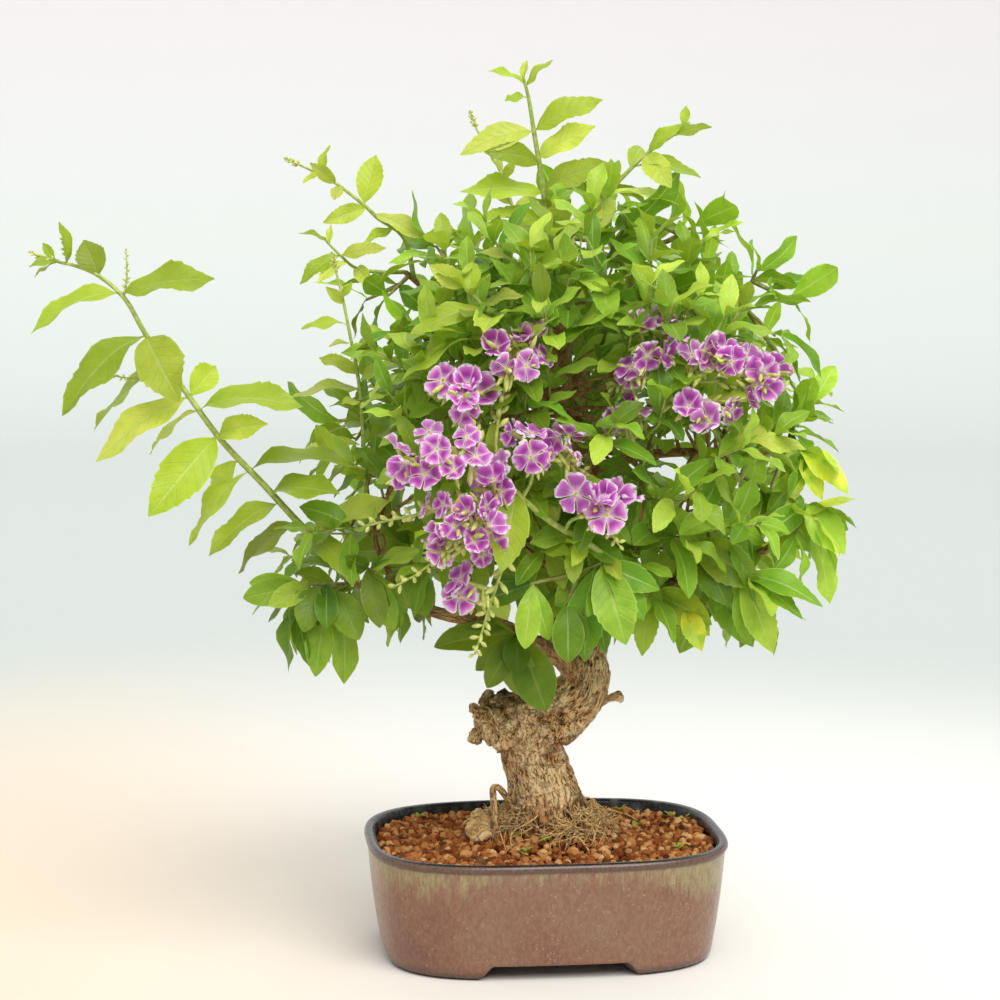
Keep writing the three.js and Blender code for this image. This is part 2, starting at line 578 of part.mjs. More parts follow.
// Tufts on the branches' ends. Each starts at one seat, and its twigs end at these places.
const TUFTS = {
  tuft_right_top: {
    on: ["high_right", 1],
    pairs: [2, 2],
    size: 25,
    droop: -0.1,
    seed: 1,
    ends: [[757, 270, 8], [790, 300, 16]],
  },
  tuft_crown_right: {
    on: ["top_right", 1],
    pairs: [2, 2],
    size: 26,
    droop: -0.1,
    seed: 2,
    ends: [[694, 226, -8], [652, 222, -4]],
  },
  tuft_crown_middle: {
    on: ["top_right", 0.45],
    pairs: [2, 1, 2],
    size: 29,
    droop: 0,
    seed: 3,
    ends: [[626, 226, 12], [596, 214, -22], [640, 300, -26]],
  },
  tuft_crown_left: {
    on: ["top_left", 0.55],
    pairs: [2, 1],
    size: 28,
    droop: 0,
    seed: 4,
    ends: [[505, 262, 16], [474, 246, 2]],
  },
  tuft_left_top: {
    on: ["top_left", 1],
    pairs: [2, 1],
    size: 26,
    droop: 0,
    seed: 5,
    ends: [[436, 246, 0], [424, 262, 18]],
  },
  tuft_left_olive: {
    on: ["high_left", 0.97],
    pairs: [2, 1, 2],
    size: 25,
    droop: 0.1,
    seed: 6,
    ends: [[388, 296, 4], [366, 300, -14], [440, 320, -42]],
  },
  tuft_left_upper: {
    on: ["high_left", 0.55],
    pairs: [2, 2],
    size: 26,
    droop: 0.3,
    seed: 7,
    ends: [[424, 340, 12], [404, 330, 30]],
  },
  tuft_front_crown: {
    on: ["front_middle", 0.5],
    pairs: [2, 1],
    size: 30,
    droop: 0.2,
    seed: 8,
    ends: [[575, 330, 52], [600, 360, 50]],
  },
  tuft_left_middle: {
    on: ["mid_left", 1],
    pairs: [2, 2, 2, 2],
    size: 28,
    droop: 0.35,
    seed: 9,
    ends: [[340, 420, -18], [356, 440, -4], [384, 500, -46], [392, 400, -54]],
  },
  tuft_left_inner: {
    on: ["mid_left", 0.7],
    pairs: [2, 1],
    size: 28,
    droop: 0.3,
    seed: 10,
    ends: [[410, 395, -6], [408, 470, 8]],
  },
  tuft_right_upper: {
    on: ["high_right", 0.55],
    pairs: [2, 2],
    size: 28,
    droop: 0.2,
    seed: 111,
    ends: [[650, 286, 32], [690, 322, 36]],
  },
  tuft_right_shoulder: {
    on: ["high_right", 0.85],
    pairs: [2, 2],
    size: 28,
    droop: 0.3,
    seed: 12,
    ends: [[775, 336, 26], [788, 372, 8]],
  },
  tuft_right_middle: {
    on: ["mid_right", 1],
    pairs: [2, 1, 1],
    size: 24,
    droop: 0.5,
    seed: 13,
    ends: [[796, 420, 14], [800, 452, 28], [770, 490, -20]],
    leaves: [[800, 448, 848, 494, 16, 24]],
  },
  tuft_right_far: {
    on: ["low_right", 1],
    pairs: [2, 1],
    size: 24,
    droop: 0.9,
    seed: 14,
    ends: [[806, 504, 40], [794, 536, 46]],
    leaves: [[814, 506, 845, 554, 12, 32], [812, 530, 830, 604, 6, 18]],
  },
  tuft_right_front: {
    on: ["mid_right", 0.62],
    pairs: [1, 1],
    size: 31,
    droop: 0.7,
    seed: 15,
    ends: [[716, 476, 30], [764, 488, 26]],
    leaves: [[760, 488, 810, 552, 16, 34], [750, 480, 750, 530, 18, 23], [724, 470, 689, 506, 10, 24]],
  },
  tuft_right_fall: {
    on: ["low_right", 0.5],
    pairs: [0, 1],
    size: 31,
    droop: 0.8,
    seed: 16,
    ends: [[690, 534, 58], [744, 578, 60]],
    leaves: [
      [694, 538, 761, 587, 10, 38], [688, 546, 729, 607, 14, 34], [704, 560, 753, 647, 2, 40],
      [744, 576, 773, 653, 6, 30], [742, 574, 823, 607, 10, 24],
    ],
  },
  tuft_right_bottom: {
    on: ["low_right", 0.28],
    pairs: [1, 0],
    size: 26,
    droop: 0.8,
    seed: 17,
    ends: [[650, 594, 52], [688, 612, 48]],
    leaves: [[656, 590, 712, 625, 18, 34], [646, 592, 642, 656, 10, 24], [684, 612, 702, 651, 12, 22]],
  },
  tuft_front_fall: {
    on: ["front_low", 1],
    pairs: [0, 0, 0],
    size: 31,
    droop: 0.8,
    seed: 18,
    ends: [[603, 562, 76], [530, 584, 76], [566, 604, 74]],
    leaves: [
      [602, 562, 626, 645, 10, 40], [596, 566, 585, 662, -4, 32], [566, 602, 568, 663, 8, 30],
      [530, 584, 525, 649, 6, 24], [536, 590, 484, 600, -6, 22], [600, 562, 660, 590, 4, 26],
    ],
  },
  tuft_low_left_front: {
    on: ["low_left", 0.3],
    pairs: [0],
    size: 29,
    droop: 0.8,
    seed: 19,
    ends: [[516, 634, 34]],
    leaves: [
      [506, 632, 487, 688, 8, 26], [512, 632, 517, 674, 12, 27], [518, 634, 546, 711, 12, 42],
      [508, 632, 434, 647, 12, 27],
    ],
  },
  tuft_left_fall: {
    on: ["low_left", 0.97],
    pairs: [0, 0],
    size: 31,
    droop: 0.8,
    seed: 20,
    ends: [[336, 590, 52], [302, 584, 50]],
    leaves: [
      [306, 588, 289, 673, 2, 14], [312, 588, 297, 655, -12, 14], [322, 590, 316, 672, -6, 18],
      [330, 590, 344, 684, 4, 25], [336, 588, 359, 640, 12, 30], [326, 586, 326, 629, 20, 22],
      [316, 584, 303, 632, 14, 26], [302, 582, 243, 598, 4, 26], [304, 585, 252, 615, -10, 16],
      [310, 584, 268, 606, 14, 22],
    ],
  },
  tuft_left_near: {
    on: ["low_left", 0.78],
    pairs: [0, 0],
    size: 31,
    droop: 0.6,
    seed: 21,
    ends: [[366, 566, 58], [412, 562, 56]],
    leaves: [
      [366, 568, 380, 628, 14, 24], [374, 570, 394, 630, 4, 24], [384, 572, 400, 644, -14, 18],
      [412, 562, 426, 617, 10, 30], [400, 566, 424, 640, -16, 18], [376, 566, 420, 551, 10, 15],
      [366, 566, 345, 556, 16, 18],
    ],
  },
  tuft_left_side: {
    on: ["low_left", 0.9],
    pairs: [2, 1],
    size: 28,
    droop: 0.4,
    seed: 22,
    ends: [[318, 556, 22], [330, 540, 6]],
  },
  tuft_centre_left: {
    on: ["mid_left", 0.35],
    pairs: [2, 1, 2, 1],
    size: 31,
    droop: 0.4,
    seed: 23,
    ends: [[492, 470, 24], [470, 500, 30], [512, 530, -16], [560, 556, -28]],
  },
  tuft_centre_right: {
    on: ["mid_right", 0.3],
    pairs: [2, 1, 1, 1],
    size: 31,
    droop: 0.6,
    seed: 24,
    ends: [[640, 490, 34], [650, 520, 22], [618, 566, -14], [612, 430, -24]],
    leaves: [[640, 488, 630, 540, 16, 30]],
  },
  tuft_back_low_left: {
    on: ["back_low_left", 1],
    pairs: [2, 1, 2, 2],
    size: 33,
    droop: 0.6,
    seed: 25,
    ends: [[444, 560, -98], [482, 590, -104], [404, 556, -50], [524, 556, -58]],
  },
  tuft_back_low_right: {
    on: ["back_low_right", 1],
    pairs: [2, 1, 2, 2, 1],
    size: 33,
    droop: 0.6,
    seed: 26,
    ends: [[722, 538, -98], [700, 580, -102], [732, 550, -44], [640, 566, -50], [600, 540, -62]],
  },
  tuft_back_middle: {
    on: ["back_middle", 1],
    pairs: [2, 1, 2, 2],
    size: 33,
    droop: 0.4,
    seed: 27,
    ends: [[586, 420, -112], [640, 470, -112], [560, 500, -84], [586, 352, -88]],
  },
  tuft_back_high_left: {
    on: ["back_high_left", 1],
    pairs: [2, 1, 2, 2],
    size: 32,
    droop: 0.2,
    seed: 28,
    ends: [[456, 320, -90], [490, 372, -102], [430, 440, -76], [506, 444, -90]],
  },
  tuft_back_high_right: {
    on: ["back_high_right", 1],
    pairs: [2, 1, 2, 2],
    size: 32,
    droop: 0.2,
    seed: 29,
    ends: [[706, 314, -84], [678, 376, -100], [722, 440, -62], [740, 380, -44]],
  },
  tuft_back_top: {
    on: ["back_top", 1],
    pairs: [2, 1, 2],
    size: 30,
    droop: 0,
    seed: 30,
    ends: [[566, 226, -66], [612, 244, -72], [530, 300, -66]],
  },
};

// A line through places of the front view, straight from each to the next, for a share from 0 to 1
// that counts every step alike.
function lineThrough(places) {
  return (share) => {
    const reach = Math.min(Math.max(share, 0), 1) * (places.length - 1);
    const k = Math.min(Math.floor(reach), places.length - 2);
    return places[k].map((from, i) => from + (places[k + 1][i] - from) * (reach - k));
  };
}

const lines = {};
for (const [name, branch] of Object.entries(BRANCHES)) {
  const start = branch.on ? lines[branch.on[0]](branch.on[1]) : branch.from;
  lines[name] = lineThrough(start ? [start, ...branch.path] : branch.path);
  lines[name].steps = branch.path.length - (start ? 0 : 1);
}

// A tapering bar along a line of the front view.
function stem(line, [thick, thin], sides, steps, grow = 0) {
  const shares = Array.from({ length: steps + 1 }, (_, k) => k / steps);
  return bar(
    shares.map((share) => at(line(share))),
    shares.map((share) => thick + (thin - thick) * share),
    sides,
    undefined,
    grow,
  );
}

// How far the trunk's fluted surface stands out at an angle round it.
function bark(angle, share) {
  const flutes = 0.07 * Math.sin(3 * angle + 9 * share) + 0.06 * Math.sin(5 * angle - 14 * share);
  return 1 + flutes + 0.04 * Math.sin(31 * share);
}

function shortBar({ path, radii }, sides, grow = 0) {
  return bar(path.map(at), radii, sides, undefined, grow);
}

function rootSolids(grow) {
  const random = randomFrom(ROOT_RING.seed);
  const crown = at([549, 812, 0]);
  const roots = [];
  for (let k = 0; k < ROOT_RING.count; k++) {
    const angle = (2 * Math.PI * (k + 0.6 * random())) / ROOT_RING.count;
    const reach = ROOT_RING.reach * (0.75 + 0.5 * random());
    const points = [0.25, 0.5, 0.75, 1].map((share) => {
      const sway = angle + 0.5 * (random() - 0.5);
      const out = V(Math.cos(sway), Math.sin(sway), 0).multiplyScalar(reach * share);
      const ground = soilHeight(crown.x + out.x, crown.y + out.y);
      return V(crown.x, crown.y, ground + 2.2 - 4.4 * share ** 3).add(out);
    });
    const thick = ROOT_RING.radius * (0.6 + 0.6 * random());
    roots.push(bar(points, [thick * 1.5, thick * 1.1, thick * 0.8, thick * 0.5], 3, undefined, grow));
  }
  return roots;
}

// The wood's pieces, each grown by a margin: 0 for the wood itself, the gap for what is cut to seat on it.
function woodPieces(grow) {
  const pieces = [
    bar(TRUNK_PATH.map(at), TRUNK_RADII, 12, bark, grow),
    bar(KNUCKLE.path.map(at), KNUCKLE.radii, 9, bark, grow),
    ...SNAGS.map((snag) => shortBar(snag, 4, grow)),
    bar(ROOT_ARCH.path.map(at), ROOT_ARCH.path.map(() => ROOT_ARCH.radius), 4, undefined, grow),
    shortBar(ROOT_KNOB, 7, grow),
    ...rootSolids(grow),
  ];
  for (const [name, branch] of Object.entries(BRANCHES)) {
    const sides = branch.sides || (branch.radii[0] < 2.3 ? 3 : 4);
    pieces.push(stem(lines[name], branch.radii, sides, lines[name].steps, grow));
  }
  return pieces;
}

// The soil
const MOUND = at([549, 812, 0]);

function soilHeight(x, y) {
  const near = Math.max(0, 1 - Math.hypot(x - MOUND.x, y - MOUND.y) / SOIL.moundReach);
  return POT.height - SOIL.belowRim + SOIL.mound * near * near * (3 - 2 * near);
}

function grain(x, y) {
  const across = Math.sin(1.1 * x + 2.3 * Math.sin(0.9 * y));
  return SOIL.grain * across * Math.sin(1.3 * y + 1.7 * Math.sin(0.7 * x));
}

function soilSolid(wood, screens) {
  const [floorRow, sideRow] = INNER;
  const rings = [inset(floorRow[0] + GAP, floorRow[1] + GAP), inset(sideRow[0] + GAP, sideRow[1])];
  for (const share of [1, 0.9, 0.76, 0.6, 0.4]) {
    const loop = oval((POT.halfWidth - SOIL.edge) * share, (POT.halfDepth - SOIL.edge) * share, 0);
    const relief = (p) => (share < 1 ? grain(p.x, p.y) : -SOIL.grain);
    rings.push(loop.map((p) => V(p.x, p.y, soilHeight(p.x, p.y) + relief(p))));
  }
  let soil = skin(rings).subtract(wood);
  for (const screen of screens) {
    const { min, max } = screen.boundingBox();
    const side = max[0] - min[0] + 2 * GAP;
    const high = 2 * (max[2] - CAVITY_FLOOR + 3 * GAP + 2 * STAPLE.radius);
    soil = soil.subtract(block(side, side, high, (min[0] + max[0]) / 2, 0, CAVITY_FLOOR));
  }
  return mainBody(soil);
}

// Leaves
// Outlines from stalk to tip: [share of length, share of half width]. The toothed one steps on each side.
const PLAIN = [[0.4, 0.88], [0.74, 0.84]];
const TOOTHED = [[0.4, 0.9], [0.66, 0.98], [0.7, 0.7], [0.86, 0.54]];

// An arched blade: flat across underneath, rising to a rib on top, thickest where the arch is highest. Its
// stalk end is sunk in the stem.
function leafSolid(root, tip, facing, width, outline, margin = 0) {
  const along = tip.clone().sub(root);
  const length = along.length();
  along.normalize();
  const up = facing.clone().addScaledVector(along, -facing.dot(along)).normalize();
  const right = V(0, 0, 0).crossVectors(along, up);
  const place = (share, side, lift) => {
    const arch = LEAF.arch * length * Math.min(share / LEAF.peak, (1 - share) / (1 - LEAF.peak));
    const middle = root.clone().addScaledVector(along, share * length);
    return middle.addScaledVector(right, side).addScaledVector(up, arch + lift);
  };
  const edge = outline.map(([share, wide]) => [share, wide * width * 0.5 + margin]);
  const count = edge.length;
  const points = [
    place(LEAF.peak, 0, LEAF.thick + margin),
    place(0, 0, -margin),
    ...edge.map(([share, side]) => place(share, side, -margin)),
    place(1, 0, -margin),
    ...edge.map(([share, side]) => place(share, -side, -margin)).reverse(),
  ];
  const loop = points.length - 1;
  const triangles = [];
  for (let k = 0; k < loop; k++) {
    triangles.push(0, 1 + k, 1 + ((k + 1) % loop));
  }
  const rightOf = (k) => 2 + k;
  const leftOf = (k) => points.length - 1 - k;
  triangles.push(1, leftOf(0), rightOf(0));
  for (let k = 0; k + 1 < count; k++) {
    triangles.push(leftOf(k), leftOf(k + 1), rightOf(k + 1), leftOf(k), rightOf(k + 1), rightOf(k));
  }
  triangles.push(leftOf(count - 1), 2 + count, rightOf(count - 1));
  return solidFrom(points, triangles);
}

// Florets and buds
// Five petals in a shallow star, on a slim tube that runs to a point inside the stalk.
function floretSolid(root, face, facing, radius, spin) {
  const up = facing.clone().normalize();
  const side = V(0, 0, 1).cross(up).normalize();
  const other = V(0, 0, 0).crossVectors(up, side);
  const place = (degrees, reach, lift) =>
    face
      .clone()
      .addScaledVector(side, Math.cos(radians(spin + degrees)) * reach)
      .addScaledVector(other, Math.sin(radians(spin + degrees)) * reach)
      .addScaledVector(up, lift);
  const rim = [];
  for (let petal = 0; petal < 5; petal++) {
    rim.push(place(petal * 72 - 36, 0.5 * radius, 0.2), place(petal * 72, radius, 0.14 * radius));
  }
  const throat = [0, 120, 240].map((degrees) => place(degrees, FLORET.tube, -1.2));
  const points = [place(0, 0, 0.2), root, ...throat, ...rim];
  const triangles = [1, 3, 2, 1, 4, 3, 1, 2, 4];
  const nearestThroat = (i) => 2 + (Math.round((i * 36 - 36) / 120 + 3) % 3);
  for (let i = 0; i < 10; i++) {
    const next = (i + 1) % 10;
    triangles.push(0, 5 + i, 5 + next, 5 + next, 5 + i, nearestThroat(i));
    if (nearestThroat(i) !== nearestThroat(i + 1)) {
      triangles.push(5 + next, nearestThroat(i), nearestThroat(i + 1));
    }
  }
  return solidFrom(points, triangles);
}

function budSolid(root, tip) {
  const middle = root.clone().lerp(tip, 0.7);
  const along = tip.clone().sub(root).normalize();
  const side = V(0, 0, 1).cross(along).normalize();
  const other = V(0, 0, 0).crossVectors(along, side);
  const waist = [0, 120, 240].map((turn) =>
    middle
      .clone()
      .addScaledVector(side, 1.1 * Math.cos(radians(turn)))
      .addScaledVector(other, 1.1 * Math.sin(radians(turn))),
  );
  return solidFrom([root, ...waist, tip], [0, 2, 1, 0, 3, 2, 0, 1, 3, 4, 1, 2, 4, 2, 3, 4, 3, 1]);
}

// Growing the green parts, each clear of the others
const placed = [];
const nodes = {};

function boxesMeet(a, b) {
  return [0, 1, 2].every((i) => a.min[i] < b.max[i] && b.min[i] < a.max[i]);
}

const meet = (a, b) => a.intersect(b).volume() > 0;

// whole: the solid with a margin, to be clear of every other node. outer: the part of it away from its root,
// to be clear of what its own node already holds there.
function isClear(owner, whole, outer) {
  const wholeBox = whole.boundingBox();
  const outerBox = outer.boundingBox();
  return !placed.some((p) =>
    p.owner === owner
      ? p.outer && boxesMeet(outerBox, p.box) && meet(outer, p.outer)
      : boxesMeet(wholeBox, p.box) && meet(whole, p.solid),
  );
}

function keep(owner, solid, outer) {
  placed.push({ owner, solid, outer, box: solid.boundingBox() });
  (nodes[owner] = nodes[owner] || []).push(solid);
}

// Turns a leaf about its root until it is clear of the others, or gives it up.
const BENDS = [
  [0, 0], [12, 0], [-12, 0], [0, 14], [0, -14], [24, 10], [-24, 10], [24, -12], [-24, -12], [0, 30], [0, -30],
];
const OUTER_SHARE = 0.25;

function growLeaf(owner, stemPlace, tip, facing, width, outline) {
  const along = tip.clone().sub(stemPlace);
  const root = stemPlace.clone().addScaledVector(along.normalize(), -LEAF.sunk);
  along.multiplyScalar(tip.distanceTo(root));
  const right = V(0, 0, 0).crossVectors(along, facing).normalize();
  const up = V(0, 0, 0).crossVectors(right, along).normalize();
  for (const [turn, lift] of BENDS) {
    const spin = new THREE.Quaternion().setFromAxisAngle(up, radians(turn));
    spin.multiply(new THREE.Quaternion().setFromAxisAngle(right, radians(lift)));
    const bentTip = root.clone().add(along.clone().applyQuaternion(spin));
    const bentFacing = facing.clone().applyQuaternion(spin);
    const beyond = bentTip.clone().lerp(root, -0.04);
    const whole = leafSolid(root, beyond, bentFacing, width, outline, GAP);
    const outer = leafSolid(root.clone().lerp(bentTip, OUTER_SHARE), bentTip, bentFacing, width, outline);
    if (isClear(owner, whole, outer)) {
      keep(owner, leafSolid(root, bentTip, bentFacing, width, outline), outer);
      return;
    }
  }
}

// Moves a floret's face towards or away from the front until it is clear of the others.
const SHIFTS = [0, 3, -3, 6, -6, 9];

function growFloret(owner, root, face, facing, radius, spin) {
  for (const shift of SHIFTS) {
    const moved = face.clone().addScaledVector(TOWARDS, shift);
    const solid = floretSolid(root, moved, facing, radius, spin);
    const outer = floretSolid(moved.clone().lerp(root, 0.35), moved, facing, radius, spin);
    const whole = floretSolid(root, moved, facing, radius + GAP, spin);
    if (isClear(owner, whole, outer)) {
      keep(owner, solid, outer);
      return;
    }
  }
}

// A leaf given by the front view: its real width is a share of its length, and it is rolled until it looks
// as broad as it does from the front.
function growSeenLeaf(owner, lineList, [fromX, fromY, toX, toY, nearer, looksWide]) {
  let best = null;
  for (const line of lineList) {
    for (let k = 0; k <= 38; k++) {
      const place = line(k / 40);
      const off = Math.hypot(place[0] - fromX, place[1] - fromY);
      if (!best || off < best.off) {
        best = { off, place };
      }
    }
  }
  const root = at(best.place);
  const tip = at([toX, toY, best.place[2] + nearer]);
  const length = tip.distanceTo(root);
  const width = Math.max(length * LEAF.widthShare, looksWide * (VIEW.away / VIEW.focal));
  const seen = Math.min(1, (looksWide * VIEW.away) / VIEW.focal / width);
  const facing = TOWARDS.clone().multiplyScalar(seen);
  facing.addScaledVector(UP, Math.sqrt(1 - seen * seen) + 0.15);
  growLeaf(owner, root, tip, facing, width, looksWide < 18 ? PLAIN : TOOTHED);
}

// Leaves in crossed pairs along a twig, closing up towards its tip and drooping with their weight.
function growPairs(owner, line, pairs, size, droop, random) {
  const axis = at([553, 430, 0]);
  const first = 360 * random();
  for (let k = 0; k < pairs; k++) {
    const share = pairs > 1 ? 0.45 + (0.5 * k) / (pairs - 1) : 0.95;
    const root = at(line(share));
    const tangent = at(line(Math.min(1, share + 0.02))).sub(at(line(share - 0.02))).normalize();
    const side = V(0, 0, 0).crossVectors(tangent, Math.abs(tangent.z) < 0.9 ? UP : RIGHT).normalize();
    const other = V(0, 0, 0).crossVectors(tangent, side);
    for (const half of [0, 180]) {
      const angle = radians(first + 90 * k + half + 30 * (random() - 0.5));
      const open = radians(78 - 38 * share + 16 * (random() - 0.5));
      const length = size * (0.82 + 0.36 * random());
      const heading = side.clone().multiplyScalar(Math.cos(angle)).addScaledVector(other, Math.sin(angle));
      heading.multiplyScalar(Math.sin(open)).addScaledVector(tangent, Math.cos(open));
      heading.addScaledVector(UP, -droop);
      const tip = root.clone().addScaledVector(heading.normalize(), length);
      const out = V(root.x - axis.x, root.y - axis.y, 0).normalize();
      const facing = UP.clone().multiplyScalar(0.5).addScaledVector(out, 0.85);
      growLeaf(owner, root, tip, facing, length * LEAF.fullShare, PLAIN);
    }
  }
}

function materials() {
  const make = (color, roughness) => new THREE.MeshStandardMaterial({ color, roughness, metalness: 0 });
  return {
    pot: make(0x7d5347, 0.35),
    soil: make(0x9c5c31, 0.95),
    wood: make(0x9c7d58, 0.9),
    leaf: make(0x4d8a22, 0.5),
    young: make(0x9fc52f, 0.5),
    petal: make(0x9b3fb4, 0.6),
    screen: make(0x2b3a4a, 0.6),
    wire: make(0xb0b2b5, 0.4),
  };
}

function build() {
  const group = new THREE.Group();
  const look = materials();
  const wood = mainBody(fuse(woodPieces(0)));
  const woodSeat = fuse(woodPieces(GAP));
  const screens = [-1, 1].map(screenSolid);
  for (const piece of woodPieces(0)) {
    placed.push({ owner: "trunk", solid: piece, box: piece.boundingBox() });
  }

  // Every stem first, then the racemes, then the leaves round them.
  const twigLines = {};
  const seats = {};
  const stems = [
    ...Object.entries(SHOOTS).map(([name, shoot]) => [name, { ...shoot, routes: [shoot.path] }]),
    ...Object.entries(TUFTS).map(([name, tuft]) => {
      return [name, { ...tuft, radii: TWIG_RADII, routes: tuft.ends.map((end) => [end]) }];
    }),
  ];
  for (const [name, { on, routes, radii }] of stems) {
    const first = lineThrough([lines[on[0]](on[1]), ...routes[0]]);
    twigLines[name] = [first, ...routes.slice(1).map((route) => lineThrough([first(0.45), ...route]))];
    lines[name] = first;
    for (const [k, line] of twigLines[name].entries()) {
      keep(name, stem(line, radii, 3, routes[k].length));
    }
    seats[name] = fuse(twigLines[name].map((line, k) => stem(line, radii, 3, routes[k].length, GAP)));
  }

  const random = randomFrom(7);
  for (const [name, { on, path, florets, buds }] of Object.entries(RACEMES)) {
    const line = lineThrough([lines[on[0]](on[1]), ...path]);
    keep(name, stem(line, [0.9, 0.7], 3, path.length));
    for (const place of florets) {
      const face = at(place);
      let nearest = at(line(0.2));
      for (let k = 4; k <= 19; k++) {
        const point = at(line(k / 20));
        nearest = point.distanceTo(face) < nearest.distanceTo(face) ? point : nearest;
      }
      const facing = face.clone().sub(nearest).normalize();
      facing.addScaledVector(TOWARDS, 1.1).addScaledVector(UP, 0.35);
      const radius = FLORET.radius * (0.82 + 0.25 * random());
      growFloret(name, nearest, face, facing, radius, 360 * random());
    }
    buds.forEach((share, k) => {
      const root = at(line(0.97 * share));
      const out = RIGHT.clone().multiplyScalar(k % 2 ? 1 : -1);
      out.addScaledVector(TOWARDS, random()).addScaledVector(UP, random() - 0.4);
      keep(name, budSolid(root, root.clone().addScaledVector(out.normalize(), 5.5)));
    });
  }

  for (const [name, { leaves = [] }] of stems) {
    for (const leaf of leaves) {
      growSeenLeaf(name, twigLines[name], leaf);
    }
  }
  for (const [name, { pairs, size, droop, seed }] of Object.entries(TUFTS)) {
    const draw = randomFrom(seed * 101);
    for (const [k, line] of twigLines[name].entries()) {
      growPairs(name, line, pairs[k], size, droop, draw);
    }
  }

  group.add(meshOf("pot", mainBody(potSolid()), look.pot));
  group.add(meshOf("soil", soilSolid(woodSeat, screens), look.soil));
  group.add(meshOf("trunk", wood, look.wood));
  ["left", "right"].forEach((end, k) => {
    group.add(meshOf(`drain_screen_${end}`, screens[k], look.screen));
    group.add(meshOf(`staple_${end}`, stapleSolid(k ? 1 : -1), look.wire));
  });
  for (const [kind, table] of Object.entries({ young: SHOOTS, leaf: TUFTS, petal: RACEMES })) {
    for (const [name, { on }] of Object.entries(table)) {
      let body = fuse(nodes[name]).subtract(woodSeat);
      if (seats[on[0]]) {
        body = body.subtract(seats[on[0]]);
      }
      group.add(meshOf(name, mainBody(body), look[kind]));
    }
  }

  const box = new THREE.Box3().setFromObject(group);
  group.position.set(-(box.min.x + box.max.x) / 2, -(box.min.y + box.max.y) / 2, -box.min.z);
  return group;
}

export default build();
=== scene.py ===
"""The looks of a golden dewdrop (Duranta) bonsai in flower: bark, leaves, florets, clay granules and glaze.

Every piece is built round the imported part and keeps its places. Sizes are in millimetres in the pot's own
frame, with its centre as the origin and +Z up, until metres() turns them into the part's frame.
"""

import math

import bmesh
import bpy
import numpy as np
from mathutils import Matrix, Vector, noise


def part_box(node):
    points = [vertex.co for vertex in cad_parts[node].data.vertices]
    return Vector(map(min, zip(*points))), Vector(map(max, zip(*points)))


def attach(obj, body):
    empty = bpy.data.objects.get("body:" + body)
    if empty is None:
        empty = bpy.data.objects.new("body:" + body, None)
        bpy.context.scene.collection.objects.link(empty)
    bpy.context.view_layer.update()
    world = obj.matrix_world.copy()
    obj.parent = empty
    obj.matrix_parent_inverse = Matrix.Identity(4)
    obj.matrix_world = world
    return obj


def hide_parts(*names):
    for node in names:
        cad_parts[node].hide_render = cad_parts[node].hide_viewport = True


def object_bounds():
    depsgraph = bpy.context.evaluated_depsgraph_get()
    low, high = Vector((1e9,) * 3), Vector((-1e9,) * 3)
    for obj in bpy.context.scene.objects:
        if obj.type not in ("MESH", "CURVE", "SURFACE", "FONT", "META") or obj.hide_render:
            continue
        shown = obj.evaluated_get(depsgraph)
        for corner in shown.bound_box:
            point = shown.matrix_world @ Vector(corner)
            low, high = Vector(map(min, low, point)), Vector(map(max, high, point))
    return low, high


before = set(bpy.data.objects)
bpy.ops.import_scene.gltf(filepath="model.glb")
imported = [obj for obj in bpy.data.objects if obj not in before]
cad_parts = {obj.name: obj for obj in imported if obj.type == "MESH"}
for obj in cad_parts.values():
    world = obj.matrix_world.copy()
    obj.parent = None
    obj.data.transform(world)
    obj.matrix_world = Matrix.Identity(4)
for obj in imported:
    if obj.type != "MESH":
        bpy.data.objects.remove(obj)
CAD_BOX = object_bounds()

# The part's driving sizes, in millimetres
POT = dict(half_width=80, half_depth=64, height=52, roundness=3.2)
FOOT = dict(height=6.5, open_width=28, open_depth=18, slant=7, rim=9)
DRAIN = dict(across=32, radius=6)
SOIL = dict(below_rim=4.5, edge=5.9, mound=11, reach=48)
LEAF = dict(width_share=0.37, full_share=0.42, arch=0.09)
FLORET_RADIUS = 8
OUTER_WALL = [(8.8, 0), (7.1, 1.8), (6.2, 6.5), (3.6, 24), (1.2, 47.6)]
INNER_WALL = [(4.6, 50.2), (5, 48), (9, 22), (11.4, 14.5), (13.5, 12)]

# Places on the tree are pixels across and down a picture 1000 square, then millimetres forward of the pot
VIEW = dict(away=1200, high=342, aside=-19.8, pitch=6.72, turn=-6.5, focal=2739, middle=500)

